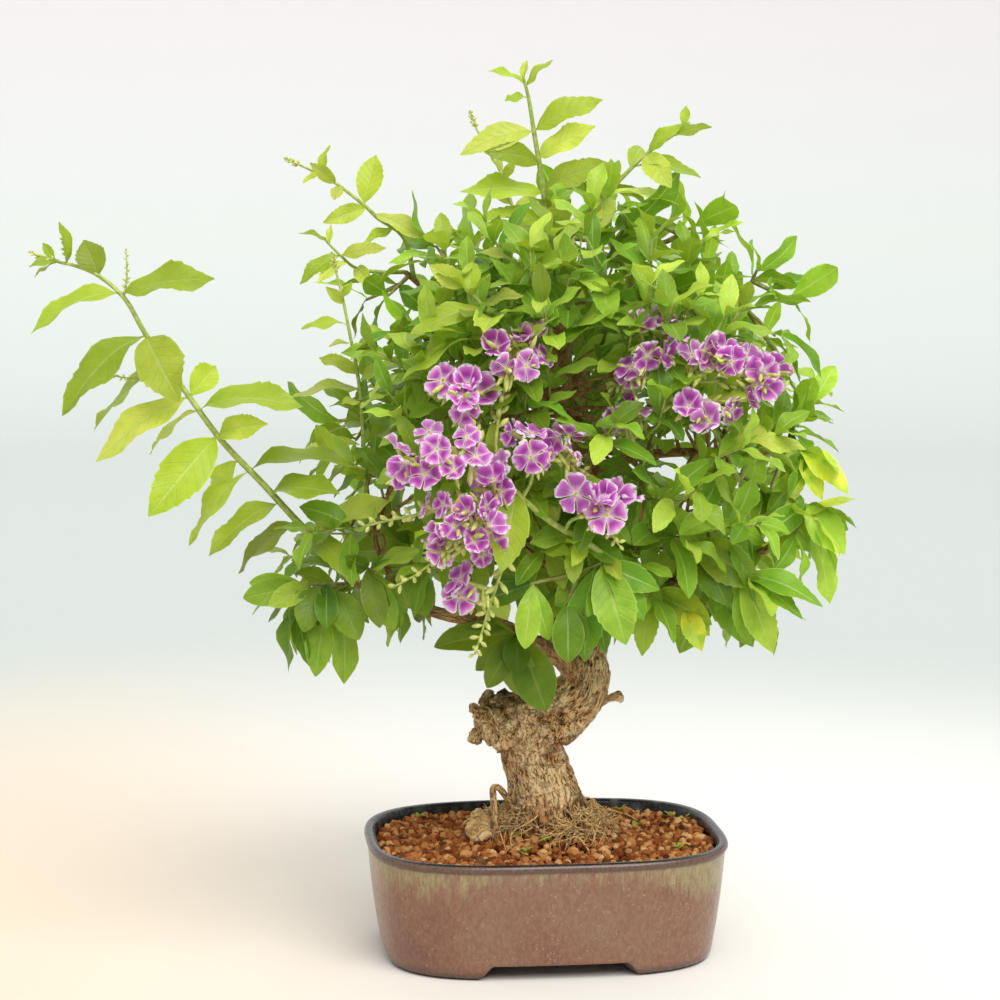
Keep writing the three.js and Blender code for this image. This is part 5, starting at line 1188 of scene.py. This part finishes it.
def grain_places(points, paths):
    """For each point, a place whose third number runs along the nearest bar and whose others go round it."""
    bars = []
    run = 0.0
    for spots, thick in paths:
        steps = run_along(spots)
        bars.append((spots, thick, run + steps, *frames(spots)[1:]))
        run += steps[-1] + KNOT_GAP
    middles, radii, along, sides, others = (np.concatenate(column) for column in zip(*bars))
    places = np.empty_like(points)
    for start in range(0, len(points), GRAIN_BATCH):
        part = points[start : start + GRAIN_BATCH]
        k = np.argmin(np.linalg.norm(part[:, None] - middles[None], axis=-1) / (radii[None] + 2), axis=1)
        off = part - middles[k]
        x, y = (off * sides[k]).sum(1), (off * others[k]).sum(1)
        length = np.hypot(x, y) + 1e-6
        places[start : start + GRAIN_BATCH] = np.column_stack([x / length * radii[k], y / length * radii[k], along[k]])
    return places


def wood(twigs):
    shape = Shape()
    old_wood(shape)
    for name, (_, radii, path) in BRANCHES.items():
        sides, age = (12, 0.55) if radii[0] > 3 else (8, 0.8)
        stem(shape, lines[name], radii, 8 * len(path), sides=sides, tone=(0.5, 0.05, age), swell=0.06)
    tube(shape, at(route(ROOT_ARCH)(np.linspace(0, 1, 30))), 1.5, 10, tone=(0.62, 0.1, 0.15), swell=0.12)
    for points, thick in twigs:
        tube(shape, points, thick, 5, tone=(0.55, 0, 0.9))
    return dress(shape.build("trunk_and_branches", [BARK]), ["trunk"])


FINE_ROOTS = 210
KNOB_ROOTS = 60


def fine_roots():
    """The wiry roots round the trunk's foot: tangles that stand up on its left and right, and forks in front."""
    shape = Shape()
    rng = np.random.default_rng(41)

    def strand(points, thick):
        tube(shape, points, np.linspace(thick, 0.14, len(points)), 6,
             tone=(rng.choice([0.85, 1.2, 1.3, 1.3]), 0.02, rng.uniform(0, 0.2)), swell=0.1)

    for number in range(FINE_ROOTS):
        middle = -RIGHT + 0.3 * TOWARDS if number % 5 < 2 else RIGHT + 0.45 * TOWARDS
        heading = math.atan2(middle[1], middle[0]) + rng.normal(0, 0.55)
        start, length, lift = (rng.uniform(*ends) for ends in ((12, 20), (6, 17), (2.5, 9.5)))
        free = 1.0 if rng.random() < 0.3 else 0.0
        sway, phase, turns = (rng.uniform(*ends) for ends in ((-0.7, 0.7), (0, 6), (4, 10)))
        points = []
        for share in np.linspace(0, 1, 16):
            r = start + length * share
            a = heading + sway * share**2 + 0.14 * math.sin(phase + turns * share)
            x, y = MOUND[0] + r * math.cos(a), MOUND[1] + r * math.sin(a)
            arch = lift * (math.sin(math.pi * min(1, 0.25 + 0.75 * share)) * (1 - free) + free * (0.35 + 0.9 * share))
            wag = 1.1 * math.sin(phase * 2 + turns * 1.3 * share)
            points.append((x, y, soil_height(x, y) + max(0.3, 0.8 + arch + wag) - 1.2 * (1 - free) * share**6))
        strand(points, rng.uniform(0.22, 0.5))
    for middle in at(route(ROOT_KNOB[0])(rng.uniform(0.15, 1, KNOB_ROOTS))):
        away, across = unit(rng.normal(size=3) + UP * 0.6 + TOWARDS * 0.4), unit(rng.normal(size=3))
        bend = rng.uniform(0.8, 1.9)
        shares = np.linspace(0, 1, 12)
        points = [middle + unit(round_about(away, across, bend * s)) * (5.6 + 2.2 * s**3) for s in shares]
        strand(points, rng.uniform(0.25, 0.45))
    for places, thick, thin in FORKS:
        spots = route([on_soil(*place) + UP * 0.9 for place in places])(np.linspace(0, 1, 26))
        ripple = 0.5 * np.sin(np.linspace(0, 11, 26) + places[0][0])[:, None]
        tube(shape, spots + ripple * (TOWARDS + UP * 0.6), np.linspace(thick, thin, 26), 8,
             tone=(1.2, 0.02, 0.05), swell=0.15)
    return dress(shape.build("fine_roots", [BARK]), [])


# Leaves. None of them reaches outside the part's own box
LEAF_ROOM = 1.7
LEAF_LOW = REACH_LOW + LEAF_ROOM
LEAF_HIGH = REACH_HIGH - LEAF_ROOM
ALONG = np.array([0, 0.05, 0.12, 0.2, 0.3, 0.4, 0.5, 0.575, 0.6, 0.675, 0.7, 0.775, 0.8, 0.875, 0.9, 0.95, 0.985, 1])
ACROSS = np.array([-1, -0.66, -0.3, 0, 0.3, 0.66, 1])
TOOTH_TIPS = np.isin(ALONG, ALONG[7:14:2])
TOOTH_NOTCHES = np.isin(ALONG, ALONG[8:15:2])


def blades(shape, leaves):
    """Every leaf of a piece at once: a veined blade, folded a little along its rib, arched and waved."""
    columns = (np.array([leaf[mark] for leaf in leaves], float)[:, None, None]
               for mark in ("root", "tip", "facing", "tone", "width", "toothed"))
    root, tip, facing, tone, width, toothed = columns
    half = width / 2
    rng = np.random.default_rng(int(abs(root[0]).sum() * 100))
    count = len(leaves)

    tip = np.clip(tip, LEAF_LOW, LEAF_HIGH)
    length = np.linalg.norm(tip - root, axis=-1)
    along = unit(tip - root)
    up = unit(facing - along * (facing * along).sum(-1, keepdims=True))
    right = np.cross(along, up)

    s, v = ALONG[None, :, None], ACROSS[None, None]
    full = s ** (1.05 - 0.1 * toothed) * (1 - s) ** (0.74 + 0.28 * toothed)
    full = full / full.max(axis=1, keepdims=True)
    bite = 0.006 + 0.07 * toothed
    full = full * (1 + bite * TOOTH_TIPS[:, None] - 0.6 * bite * TOOTH_NOTCHES[:, None])
    stalk = 0.55 / np.maximum(half, 1)
    full = np.maximum(full * np.clip(s / 0.1, 0.1, 1), stalk * np.where(s < 0.99, 1, 0.2))

    fold, bow, twist = (rng.uniform(*ends, (count, 1, 1)) for ends in ((0.08, 0.34), (0.7, 1.5), (-0.5, 0.5)))
    wave, phase = (rng.uniform(*ends, (count, 1, 2)) for ends in ((0.02, 0.06), (0, 6.3)))
    side = v * (full * half)
    rise = LEAF["arch"] * bow * np.sin(math.pi * s**0.8) * length + np.abs(side) * fold
    left, far = (wave[..., k, None] * np.sin(11 * s + phase[..., k, None]) for k in (0, 1))
    rise = rise + np.where(v > 0, far, left) * v * v * length * np.minimum(1, 6 * s * (1 - s))
    turn = twist * (s - 0.25)
    rise = rise + side * np.sin(turn)

    points = root + along * (s * length)[..., None]
    points = points + right * (side * np.cos(turn))[..., None] + up * rise[..., None]
    points = np.clip(points, REACH_LOW, REACH_HIGH)
    place = np.stack(np.broadcast_arrays(s, v, rng.random(count)[:, None, None]), axis=-1)
    rows, columns = len(ALONG), len(ACROSS)
    faces = (np.arange(count)[:, None, None] * rows * columns + sheet_faces(rows, columns)[None]).reshape(-1, 4)
    tones = np.broadcast_to(tone, points.shape)
    shape.add(points.reshape(-1, 3), faces, place.reshape(-1, 3), tones.reshape(-1, 3))


def leaf_tone(rng, young, point, yellow=0.0):
    """How young and yellow a leaf is, and the light and shade painted on it: lighter high up and at the right, darker
    low down.
    """
    high = np.clip((point[2] - 110) / 230, 0, 1)
    side = np.clip((point @ RIGHT) / 120, -1, 1)
    rise = max(high - 0.15, 0.0) ** 0.4
    # Painted light: old leaves get lighter with height, young ones stay much the same, and leaves at the right get
    # more, most of all low down.
    light = (1 - young) * 0.8 * rise + young * (0.42 + 0.02 * rise)
    light += 0.07 * side + 0.45 * max(side, 0.0) * (1 - high)
    light = np.clip(light + rng.normal(0, 0.2), 0.0, 1)
    return np.clip(young + rng.normal(0, 0.07), 0, 1), light, yellow


def seen_leaf(owners, seen, young, rng, toothed=0.9, yellow=0.0):
    """A leaf given by the front view: where its stalk leaves, its tip, how much nearer that is, how broad it looks."""
    *foot, to_x, to_y, nearer, looks = seen
    places = np.concatenate([line(np.arange(39) / 40) for line in owners])
    best = places[nearest(places[:, :2], foot)]
    root = at(best)
    tip = at((to_x, to_y, best[2] + nearer))
    looks_wide = looks * VIEW["away"] / VIEW["focal"]
    width = max(np.linalg.norm(tip - root) * LEAF["width_share"], looks_wide)
    seen_share = min(1, looks_wide / width)
    aside = unit(np.cross(tip - root, TOWARDS))
    aside = aside * (1 if aside[2] > 0 else -1)
    facing = TOWARDS * seen_share + (UP * 0.6 + aside * 0.6) * (math.sqrt(1 - seen_share**2) + 0.1)
    tone = leaf_tone(rng, young, root, yellow)
    return dict(root=root, tip=tip, facing=facing, width=width * 1.03, toothed=toothed, tone=tone)


def partner(leaf, rng):
    """A second, smaller leaf that shows from behind another, from the same twig end."""
    along = leaf["tip"] - leaf["root"]
    facing = unit(leaf["facing"])
    turn = rng.choice([-1, 1]) * rng.uniform(0.22, 0.42)
    swung = round_about(along, np.cross(facing, along), turn)
    tip = leaf["root"] + swung * rng.uniform(0.72, 0.92) - facing * rng.uniform(2, 5)
    facing = facing + rng.normal(0, 0.25, 3)
    width = leaf["width"] * rng.uniform(0.7, 0.85)
    young, light, yellow = leaf["tone"]
    # A leaf behind another gets a little less light on average: painted shade.
    tone = (young, np.clip(light + rng.normal(-0.06, 0.14), 0, 1), yellow)
    return dict(leaf, tip=tip, facing=facing, width=width, tone=tone)


def pair_leaves(line, pairs, size, droop, draw, rng):
    """The part's crossed pairs of leaves along a twig, closing up towards its tip."""
    axis = at((553, 430, 0))
    first = 360 * next(draw)
    leaves = []
    for k in range(pairs):
        share = 0.45 + 0.5 * k / (pairs - 1) if pairs > 1 else 0.95
        root = at(line(share))
        tangent = unit(at(line(min(1, share + 0.02))) - at(line(share - 0.02)))
        side, other = crossing(tangent)
        for half in (0, 180):
            angle = math.radians(first + 90 * k + half + 30 * (next(draw) - 0.5))
            opening = math.radians(78 - 38 * share + 16 * (next(draw) - 0.5))
            length = size * (0.82 + 0.36 * next(draw))
            heading = round_about(side, other, angle) * math.sin(opening)
            heading = unit(heading + tangent * math.cos(opening) - UP * droop)
            facing = UP * 0.5 + unit((root - axis) * (1, 1, 0)) * 0.85
            leaves.append(dict(root=root, tip=root + heading * length, facing=facing, toothed=0.25,
                               width=length * LEAF["full_share"], tone=leaf_tone(rng, 0.12, root)))
    return leaves


def spray(base, heading, rng, pairs, size, droop, young, yellow):
    """A leafy twig end: crossed pairs that get smaller and younger towards the tip. Returns its line and leaves."""
    reach = size * (0.3 + 0.24 * pairs)
    bend = unit(np.cross(heading, rng.normal(size=3))) * reach * 0.12
    line = [base, base + heading * reach * 0.5 + bend, base + heading * reach + UP * reach * 0.08]
    side, other = crossing(heading)
    first = rng.uniform(0, 360)
    leaves = []
    for k in range(pairs):
        share = (k + 0.6) / pairs
        root = bent(*line, share)
        for half in (0, 180):
            angle = math.radians(first + 90 * k + half + rng.uniform(-18, 18))
            opening = math.radians(80 - 44 * share + rng.uniform(-9, 9))
            length = size * (1.08 - 0.42 * share) * rng.uniform(0.85, 1.15)
            away = round_about(side, other, angle) * math.sin(opening)
            away = unit(away + heading * math.cos(opening) - UP * droop)
            leaves.append(dict(root=root, tip=root + away * length, facing=UP * 0.75 + heading * 0.65,
                               width=length * rng.uniform(0.37, 0.46), toothed=0.35 + 0.4 * young,
                               tone=leaf_tone(rng, young * (0.4 + 0.9 * share), root, yellow)))
    return line, leaves


# Layers of twig ends that fill the crown: how deep they lie, as a share of its depth towards the front, and how many
FILL_LAYERS = ((1.0, 70), (-1.0, 80), (0.35, 30), (-0.35, 32))
GOLDEN_TURN = 2.39996


def crown_reach(angle):
    """How far the crown's outline is from its middle, in pixels, in a direction of the front view."""
    corners = np.array(CROWN_EDGE, float) - CROWN_MIDDLE
    angles = np.arctan2(-corners[:, 1], corners[:, 0])
    order = np.argsort(angles)
    return np.interp(angle, angles[order], np.hypot(*corners[order].T), period=2 * math.pi)


def fill_sprays(rng):
    """The twig ends between the named tufts: a shell over the front and back of the crown and some within."""
    made = []
    for layer, count in FILL_LAYERS:
        for k in range(count):
            rho = math.sqrt((k + 0.5) / count)
            angle = GOLDEN_TURN * k + layer
            angle = math.atan2(math.sin(angle), math.cos(angle))
            reach = (crown_reach(angle) - SPRAY_REACH) * rho
            across = CROWN_MIDDLE[0] + reach * math.cos(angle)
            down = CROWN_MIDDLE[1] - reach * math.sin(angle)
            if layer > 0.5 and any(math.hypot(across - x, down - y) < r for x, y, r in GAPS):
                continue
            deep = math.sqrt(max(0.0, 1 - (0.96 * rho) ** 2.4)) * CROWN_DEPTH * (0.86 if down > 560 else 1)
            deep *= 0.85 if layer > 0 else 1
            made.append((across, down, deep * layer + rng.uniform(-5, 5)))
    return made


# Florets and buds
PETAL_ALONG = np.array([0.07, 0.2, 0.36, 0.52, 0.68, 0.82, 0.93, 1.0])
PETAL_ACROSS = np.array([-1, -0.8, -0.45, 0, 0.45, 0.8, 1])
CALYX = ([0, 0.12, 0.2, 0.5, 0.56, 0.9, 1], [0.35, 0.4, 1.1, 1.15, 0.7, 0.85, 1.3])
BUD = np.array([0.28, 0.3, 0.62, 0.92, 1.0, 0.95, 0.7, 0.2])


def floret(shape, root, face, facing, radius, turned, rng):
    """Five ruffled petals with pale margins round a throat, on a slim tube that rises from a ribbed calyx."""
    up = unit(facing)
    side = unit(np.cross(UP, up))
    other = np.cross(up, side)
    s, v = PETAL_ALONG[:, None], PETAL_ACROSS[None]
    wide = 0.84 * s**1.45 * np.sqrt(np.clip(1.01 - s**5, 0, 1))
    wide = np.maximum(wide, 0.76 * s * np.clip(1.6 - 2.2 * s, 0, 1))
    light = rng.uniform(0, 1)
    closed = rng.uniform(0.0, 0.35) if rng.random() < 0.7 else rng.uniform(0.4, 1.0)
    number = rng.random()
    for petal in range(5):
        angle = math.radians(turned + petal * 72)
        out, cross = round_about(side, other, angle), round_about(other, -side, angle)
        size = radius * rng.uniform(0.9, 1.08)
        cup = closed + rng.uniform(-0.16, 0.16)
        waves = 0.09 * np.sin(8 * s + rng.uniform(0, 6) + 2 * v) * np.abs(v) ** 2 * s
        lift = cup * s**1.5 + waves - 0.12 * v * v * s + 0.08 * np.sin(8 * v + rng.uniform(0, 6)) * s**4
        lift = lift + 0.1 * v * s
        along = s * np.cos(cup * 0.6) * (1 + 0.07 * np.sin(7 * v + rng.uniform(0, 6)) * s**3)
        breadth = wide * (1 + 0.07 * np.sin(9 * s + rng.uniform(0, 6) + v))
        points = face + size * (out * along[..., None] + cross * (v * breadth)[..., None] + up * lift[..., None])
        margin = np.minimum((1 - np.abs(v)) * wide / (0.05 + 0.3 * s * s), (1.0 - s) * 2.6)
        place = np.stack(np.broadcast_arrays(s, margin, number), axis=-1)
        tone = np.stack(np.broadcast_arrays(v + 0 * s, light, 0.0), axis=-1)
        points, place, tone = (part.reshape(-1, 3) for part in (points, place, tone))
        shape.add(np.clip(points, REACH_LOW, REACH_HIGH), sheet_faces(*margin.shape), place, tone)
    throat = face - up * 0.3
    middle = root + (throat - root) * 0.55 - up * np.linalg.norm(throat - root) * 0.12
    share = np.linspace(0, 1, 12)
    radii = np.interp(share, *CALYX)
    tube(shape, bent(root, middle, throat, share[:, None]), radii, 7, tone=(0.95, 0.8, 0), slot=1)


def bud(shape, root, tip, plump):
    """A closed bud on a short stalk."""
    spots = root + (tip - root) * np.linspace(0, 1, len(BUD))[:, None]
    tube(shape, spots, plump * BUD, 6, tone=(1, 0.95, 0), slot=1)


def bud_spike(shape, places, rng, size=2.6, count=16):
    """The thin spike of tiny buds that ends a flowering stalk."""
    line = route(places)
    spots = at(line(np.linspace(0, 1, 12)))
    tube(shape, spots, np.linspace(0.5, 0.25, 12), 6, tone=(0.9, 0.5, 0), slot=1)
    tangents, sides, others = frames(spots)
    for k in range(count):
        share = 0.12 + 0.88 * k / count
        index = int(share * 11)
        out = round_about(sides[index], others[index], 2.4 * k)
        root = at(line(share))
        length = size * (1.1 - 0.55 * share) * rng.uniform(0.85, 1.15)
        bud(shape, root, root + unit(out + tangents[index] * 0.9) * length, 0.5 * (1.2 - 0.5 * share))


def racemes(rng):
    """Each raceme: its stalk, its florets as the part places them, and the buds beyond them."""
    draw = draws(7)
    for name, (on, path, large, part_buds, florets) in RACEMES.items():
        shape = Shape()
        line = grow(on, path)
        stem(shape, line, (0.9, 0.42), 24, sides=7, tone=(0.9, 0.5, 0), slot=1)
        stalk = at(line(np.arange(4, 20) / 20))
        for face in at(florets):
            root = stalk[nearest(stalk, face)]
            facing = unit(unit(face - root) + TOWARDS * 0.8 + UP * 0.4) + rng.normal(0, 0.45, 3)
            radius = FLORET_RADIUS * (0.8 + 0.22 * next(draw)) * large
            floret(shape, root, face, facing, radius, 360 * next(draw), rng)
            if rng.random() < 0.12:
                shift = unit(rng.normal(size=3) * (1, 1, 1.2)) * rng.uniform(6, 9) - TOWARDS * 5
                aside = unit(shift) + unit(facing) * 0.25 - UP * 0.15
                floret(shape, root, face + shift, aside, radius * 0.85, rng.uniform(0, 360), rng)
            for _ in range(3):
                heading = unit(rng.normal(size=3) + TOWARDS * 0.9 - UP * 0.5)
                start = root + (face - root) * rng.uniform(0.2, 0.8)
                bud(shape, start, start + heading * rng.uniform(7, 11.5), rng.uniform(0.8, 1.2))
        # The part draws twice for each of its own buds
        for _ in range(2 * part_buds):
            next(draw)
        tangents, sides, others = frames(at(line(np.linspace(0, 1, 25))))
        for k in range(22):
            share = 0.3 + 0.7 * (k + 1) / 22
            index = int(share * 24)
            out = round_about(sides[index], others[index], 2.2 * k + rng.uniform(-0.4, 0.4))
            root = at(line(share))
            length = (8.6 - 5.0 * share) * rng.uniform(0.85, 1.2)
            bud(shape, root, root + unit(out + tangents[index] * 0.8 + UP * 0.25) * length, 1.45 - 0.6 * share)
        dress(shape.build(f"{name}_bloom", [PETAL, GREEN]), [name])


# Growing the green parts
YOUNG_SHOOT = 0.92
OLD_LEAF = 0.16
SPRAY_YOUNG = 0.22


def shoots(rng):
    for name, (on, radii, path, leaves) in SHOOTS.items():
        lines[name] = grow(on, path)
        shape = Shape()
        stem(shape, lines[name], radii, 8 * len(path), sides=8, tone=(0.75, 0.5, 0), slot=1)
        blades(shape, [seen_leaf([lines[name]], leaf, YOUNG_SHOOT, rng) for leaf in leaves])
        for places in SPIKES.get(name, []):
            bud_spike(shape, places, rng)
        dress(shape.build(f"{name}_leaves", [BLADE, GREEN]), [name])


def tufts(rng):
    """The named tufts, with the twig ends that fill the crown round them. Returns the woody twigs they hang on."""
    grown = {}
    for name, (on, size, droop, seed, ends, seen) in TUFTS.items():
        *first_end, _ = ends[0]
        first = grow(on, [first_end])
        owners = [first, *[route([first(0.45), end[:3]]) for end in ends[1:]]]
        shape = Shape()
        for line in owners:
            stem(shape, line, (1.2, 0.6), 8, sides=6, tone=(0.25, 0.5, 0), slot=1)
        leaves = []
        for leaf in seen:
            toothed = 0.7 if leaf[0] > 570 else 0.12
            yellow = rng.uniform(0.3, 1) if leaf[0] > 640 and rng.random() < 0.5 else 0
            leaves.append(seen_leaf(owners, leaf, OLD_LEAF, rng, toothed, yellow))
        leaves += [partner(leaf, rng) for leaf in leaves]
        draw = draws(seed * 101)
        for line, (*_, pairs) in zip(owners, ends):
            leaves += pair_leaves(line, pairs, size, droop, draw, rng)
        grown[name] = (shape, leaves, np.mean([leaf["root"] for leaf in leaves], axis=0))

    heart = at(CROWN_HEART)
    samples = np.concatenate([at(lines[name](np.linspace(0.25, 1, 30))) for name in BRANCHES])
    middles = np.array([middle for *_, middle in grown.values()])
    names = list(grown)
    twigs = []
    for across, down, forward in fill_sprays(rng):
        base = at((across, down, forward))
        out = unit(base - heart)
        inner = samples[((samples - heart) @ out) < (base - heart) @ out - 2]
        inner = inner if len(inner) else samples
        seat = inner[nearest(inner, base)]
        low = np.clip((down - 470) / 180, 0, 1)
        young = SPRAY_YOUNG + 0.25 * (1 - low) * rng.random()
        yellow = 0.5 if across > 700 and down > 470 and rng.random() < 0.3 else 0
        middle = (seat + base) / 2 + UP * 3 - out * 2
        twigs.append((bent(seat, middle, base, np.linspace(0, 1, 8)[:, None]), np.linspace(1.0, 0.65, 8)))
        heading = unit(out + UP * (0.25 - 0.5 * low) + rng.normal(0, 0.16, 3))
        pairs = 3 if rng.random() < 0.6 else 4
        line, leaves = spray(base, heading, rng, pairs, rng.uniform(22, 29), 0.05 + 0.75 * low, young, yellow)
        shape, tuft_leaves, _ = grown[names[nearest(middles, base)]]
        tube(shape, line, [0.75, 0.6, 0.4], 5, tone=(0.45, 0.5, 0), slot=1)
        tuft_leaves.extend(leaves)
    for name, (shape, leaves, _) in grown.items():
        blades(shape, leaves)
        dress(shape.build(f"{name}_leaves", [BLADE, GREEN]), [name])
    return twigs


def seedlings(rng):
    """Tiny seedlings on the soil."""
    leaves = []
    for spot in SEEDLINGS:
        for k in range(6):
            turn = k * 1.1 + rng.uniform(0, 0.8)
            out = unit([math.cos(turn), math.sin(turn), rng.uniform(0.4, 0.9)])
            root = on_soil(*spot) + out * 0.4
            tip = root + out * rng.uniform(2.2, 4.2)
            leaves.append(dict(root=root, tip=tip, facing=UP, width=1.7, toothed=0.0, tone=(0.75, 0.5, 0)))
    shape = Shape()
    blades(shape, leaves)
    return dress(shape.build("seedlings", [BLADE]), [])


# The studio
SWEEP_STEPS = 96
SWEEP_FLAT = 2400
SWEEP_BEND = 1100


def stage_finish():
    """A pale paper sweep: cream near the pot, cooler away from it."""
    m = Finish("studio_paper")
    x, y, high = m.split(m.where())
    away = m.calc("POWER", x * x + y * y, 0.5)
    reach = away + m.noise(m.where(), 0.0015, 1.0) * 300.0
    near = m.blend(m.span(x, -235.0, 90.0), "e2d3bf", "e8e7e4")
    floor = m.blend(m.span(reach, 230.0, 1050.0), near, "b9c0be")
    colour = m.blend(m.span(high, 80.0, 900.0), floor, "c0babe")
    m.set(base_color=colour, roughness=0.95, specular_ior_level=0.0)
    return m.data


def stage():
    profile = [(r, 0) for r in np.linspace(150, SWEEP_FLAT, 16)]
    profile += [(SWEEP_FLAT + SWEEP_BEND * math.sin(t), SWEEP_BEND * (1 - math.cos(t)))
                for t in np.linspace(0.12, math.pi / 2, 12)]
    profile += [(3500, 1500), (3500, 1900)]
    shape = Shape()
    angles = np.arange(SWEEP_STEPS) * 2 * math.pi / SWEEP_STEPS
    rings = np.array([[(r * math.cos(a), r * math.sin(a), z) for a in angles] for r, z in profile])
    shape.add(rings.reshape(-1, 3), ring_faces(len(profile), SWEEP_STEPS))
    shape.add([*rings[0], (0, 0, 0)], fan(0, SWEEP_STEPS, SWEEP_STEPS))
    sweep = shape.build("studio_sweep", [stage_finish()])
    sweep.location = (0, 0, -0.0003)


def lamp(name, place, aim, spread, power, colour):
    """A broad soft light from a place towards another. Its light is even over the whole floor."""
    data = bpy.data.lights.new(name, "SUN")
    data.angle = math.radians(spread)
    data.energy = power
    data.color = colour
    thing = put_in_scene(name, data)
    thing.location = place
    thing.rotation_mode = "QUATERNION"
    thing.rotation_quaternion = (Vector(aim) - Vector(place)).to_track_quat("-Z", "Y")


def light():
    world = bpy.data.worlds.new("studio_air")
    world.use_nodes = True
    background = world.node_tree.nodes["Background"]
    background.inputs["Color"].default_value = (1.0, 0.99, 0.975, 1)
    background.inputs["Strength"].default_value = 1.0
    bpy.context.scene.world = world
    crown = (0.0, 0.0, 0.24)
    lamp("key", (0.45, -1.2, 1.7), crown, 42, 2.25, (1.0, 0.97, 0.92))
    lamp("fill", (-0.35, -1.8, 0.55), crown, 50, 2.3, (1.0, 0.99, 0.98))
    lamp("back", (0.3, 1.6, 1.5), crown, 50, 0.5, (1.0, 1.0, 0.97))


def camera():
    data = bpy.data.cameras.new("photo_view")
    data.sensor_width = 36
    data.lens = 36 * VIEW["focal"] / 1000
    data.clip_start, data.clip_end = 0.05, 20
    thing = put_in_scene("photo_view", data)
    ahead = -TOWARDS * math.cos(PITCH) - UP * math.sin(PITCH)
    up = -TOWARDS * math.sin(PITCH) + UP * math.cos(PITCH)
    place = metres(TOWARDS * VIEW["away"] + RIGHT * VIEW["aside"] + UP * VIEW["high"])
    turned = Matrix([RIGHT, up, -ahead]).transposed().to_4x4()
    thing.matrix_world = Matrix.Translation(place) @ turned
    bpy.context.scene.camera = thing


def finish_node(name, material):
    """A node of the part that stays as it is, with a better material."""
    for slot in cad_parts[name].material_slots:
        slot.material = material


for end in ("left", "right"):
    finish_node(f"drain_screen_{end}", PLASTIC)
    finish_node(f"staple_{end}", WIRE)
rng = np.random.default_rng(20240611)
# Without a seed, noise_vector starts from other places at each run
noise.seed_set(7)
pot()
soil()
shoots(rng)
wood(tufts(rng))
fine_roots()
racemes(rng)
seedlings(rng)
stage()
light()
camera()
bpy.context.scene.view_settings.view_transform = "Standard"
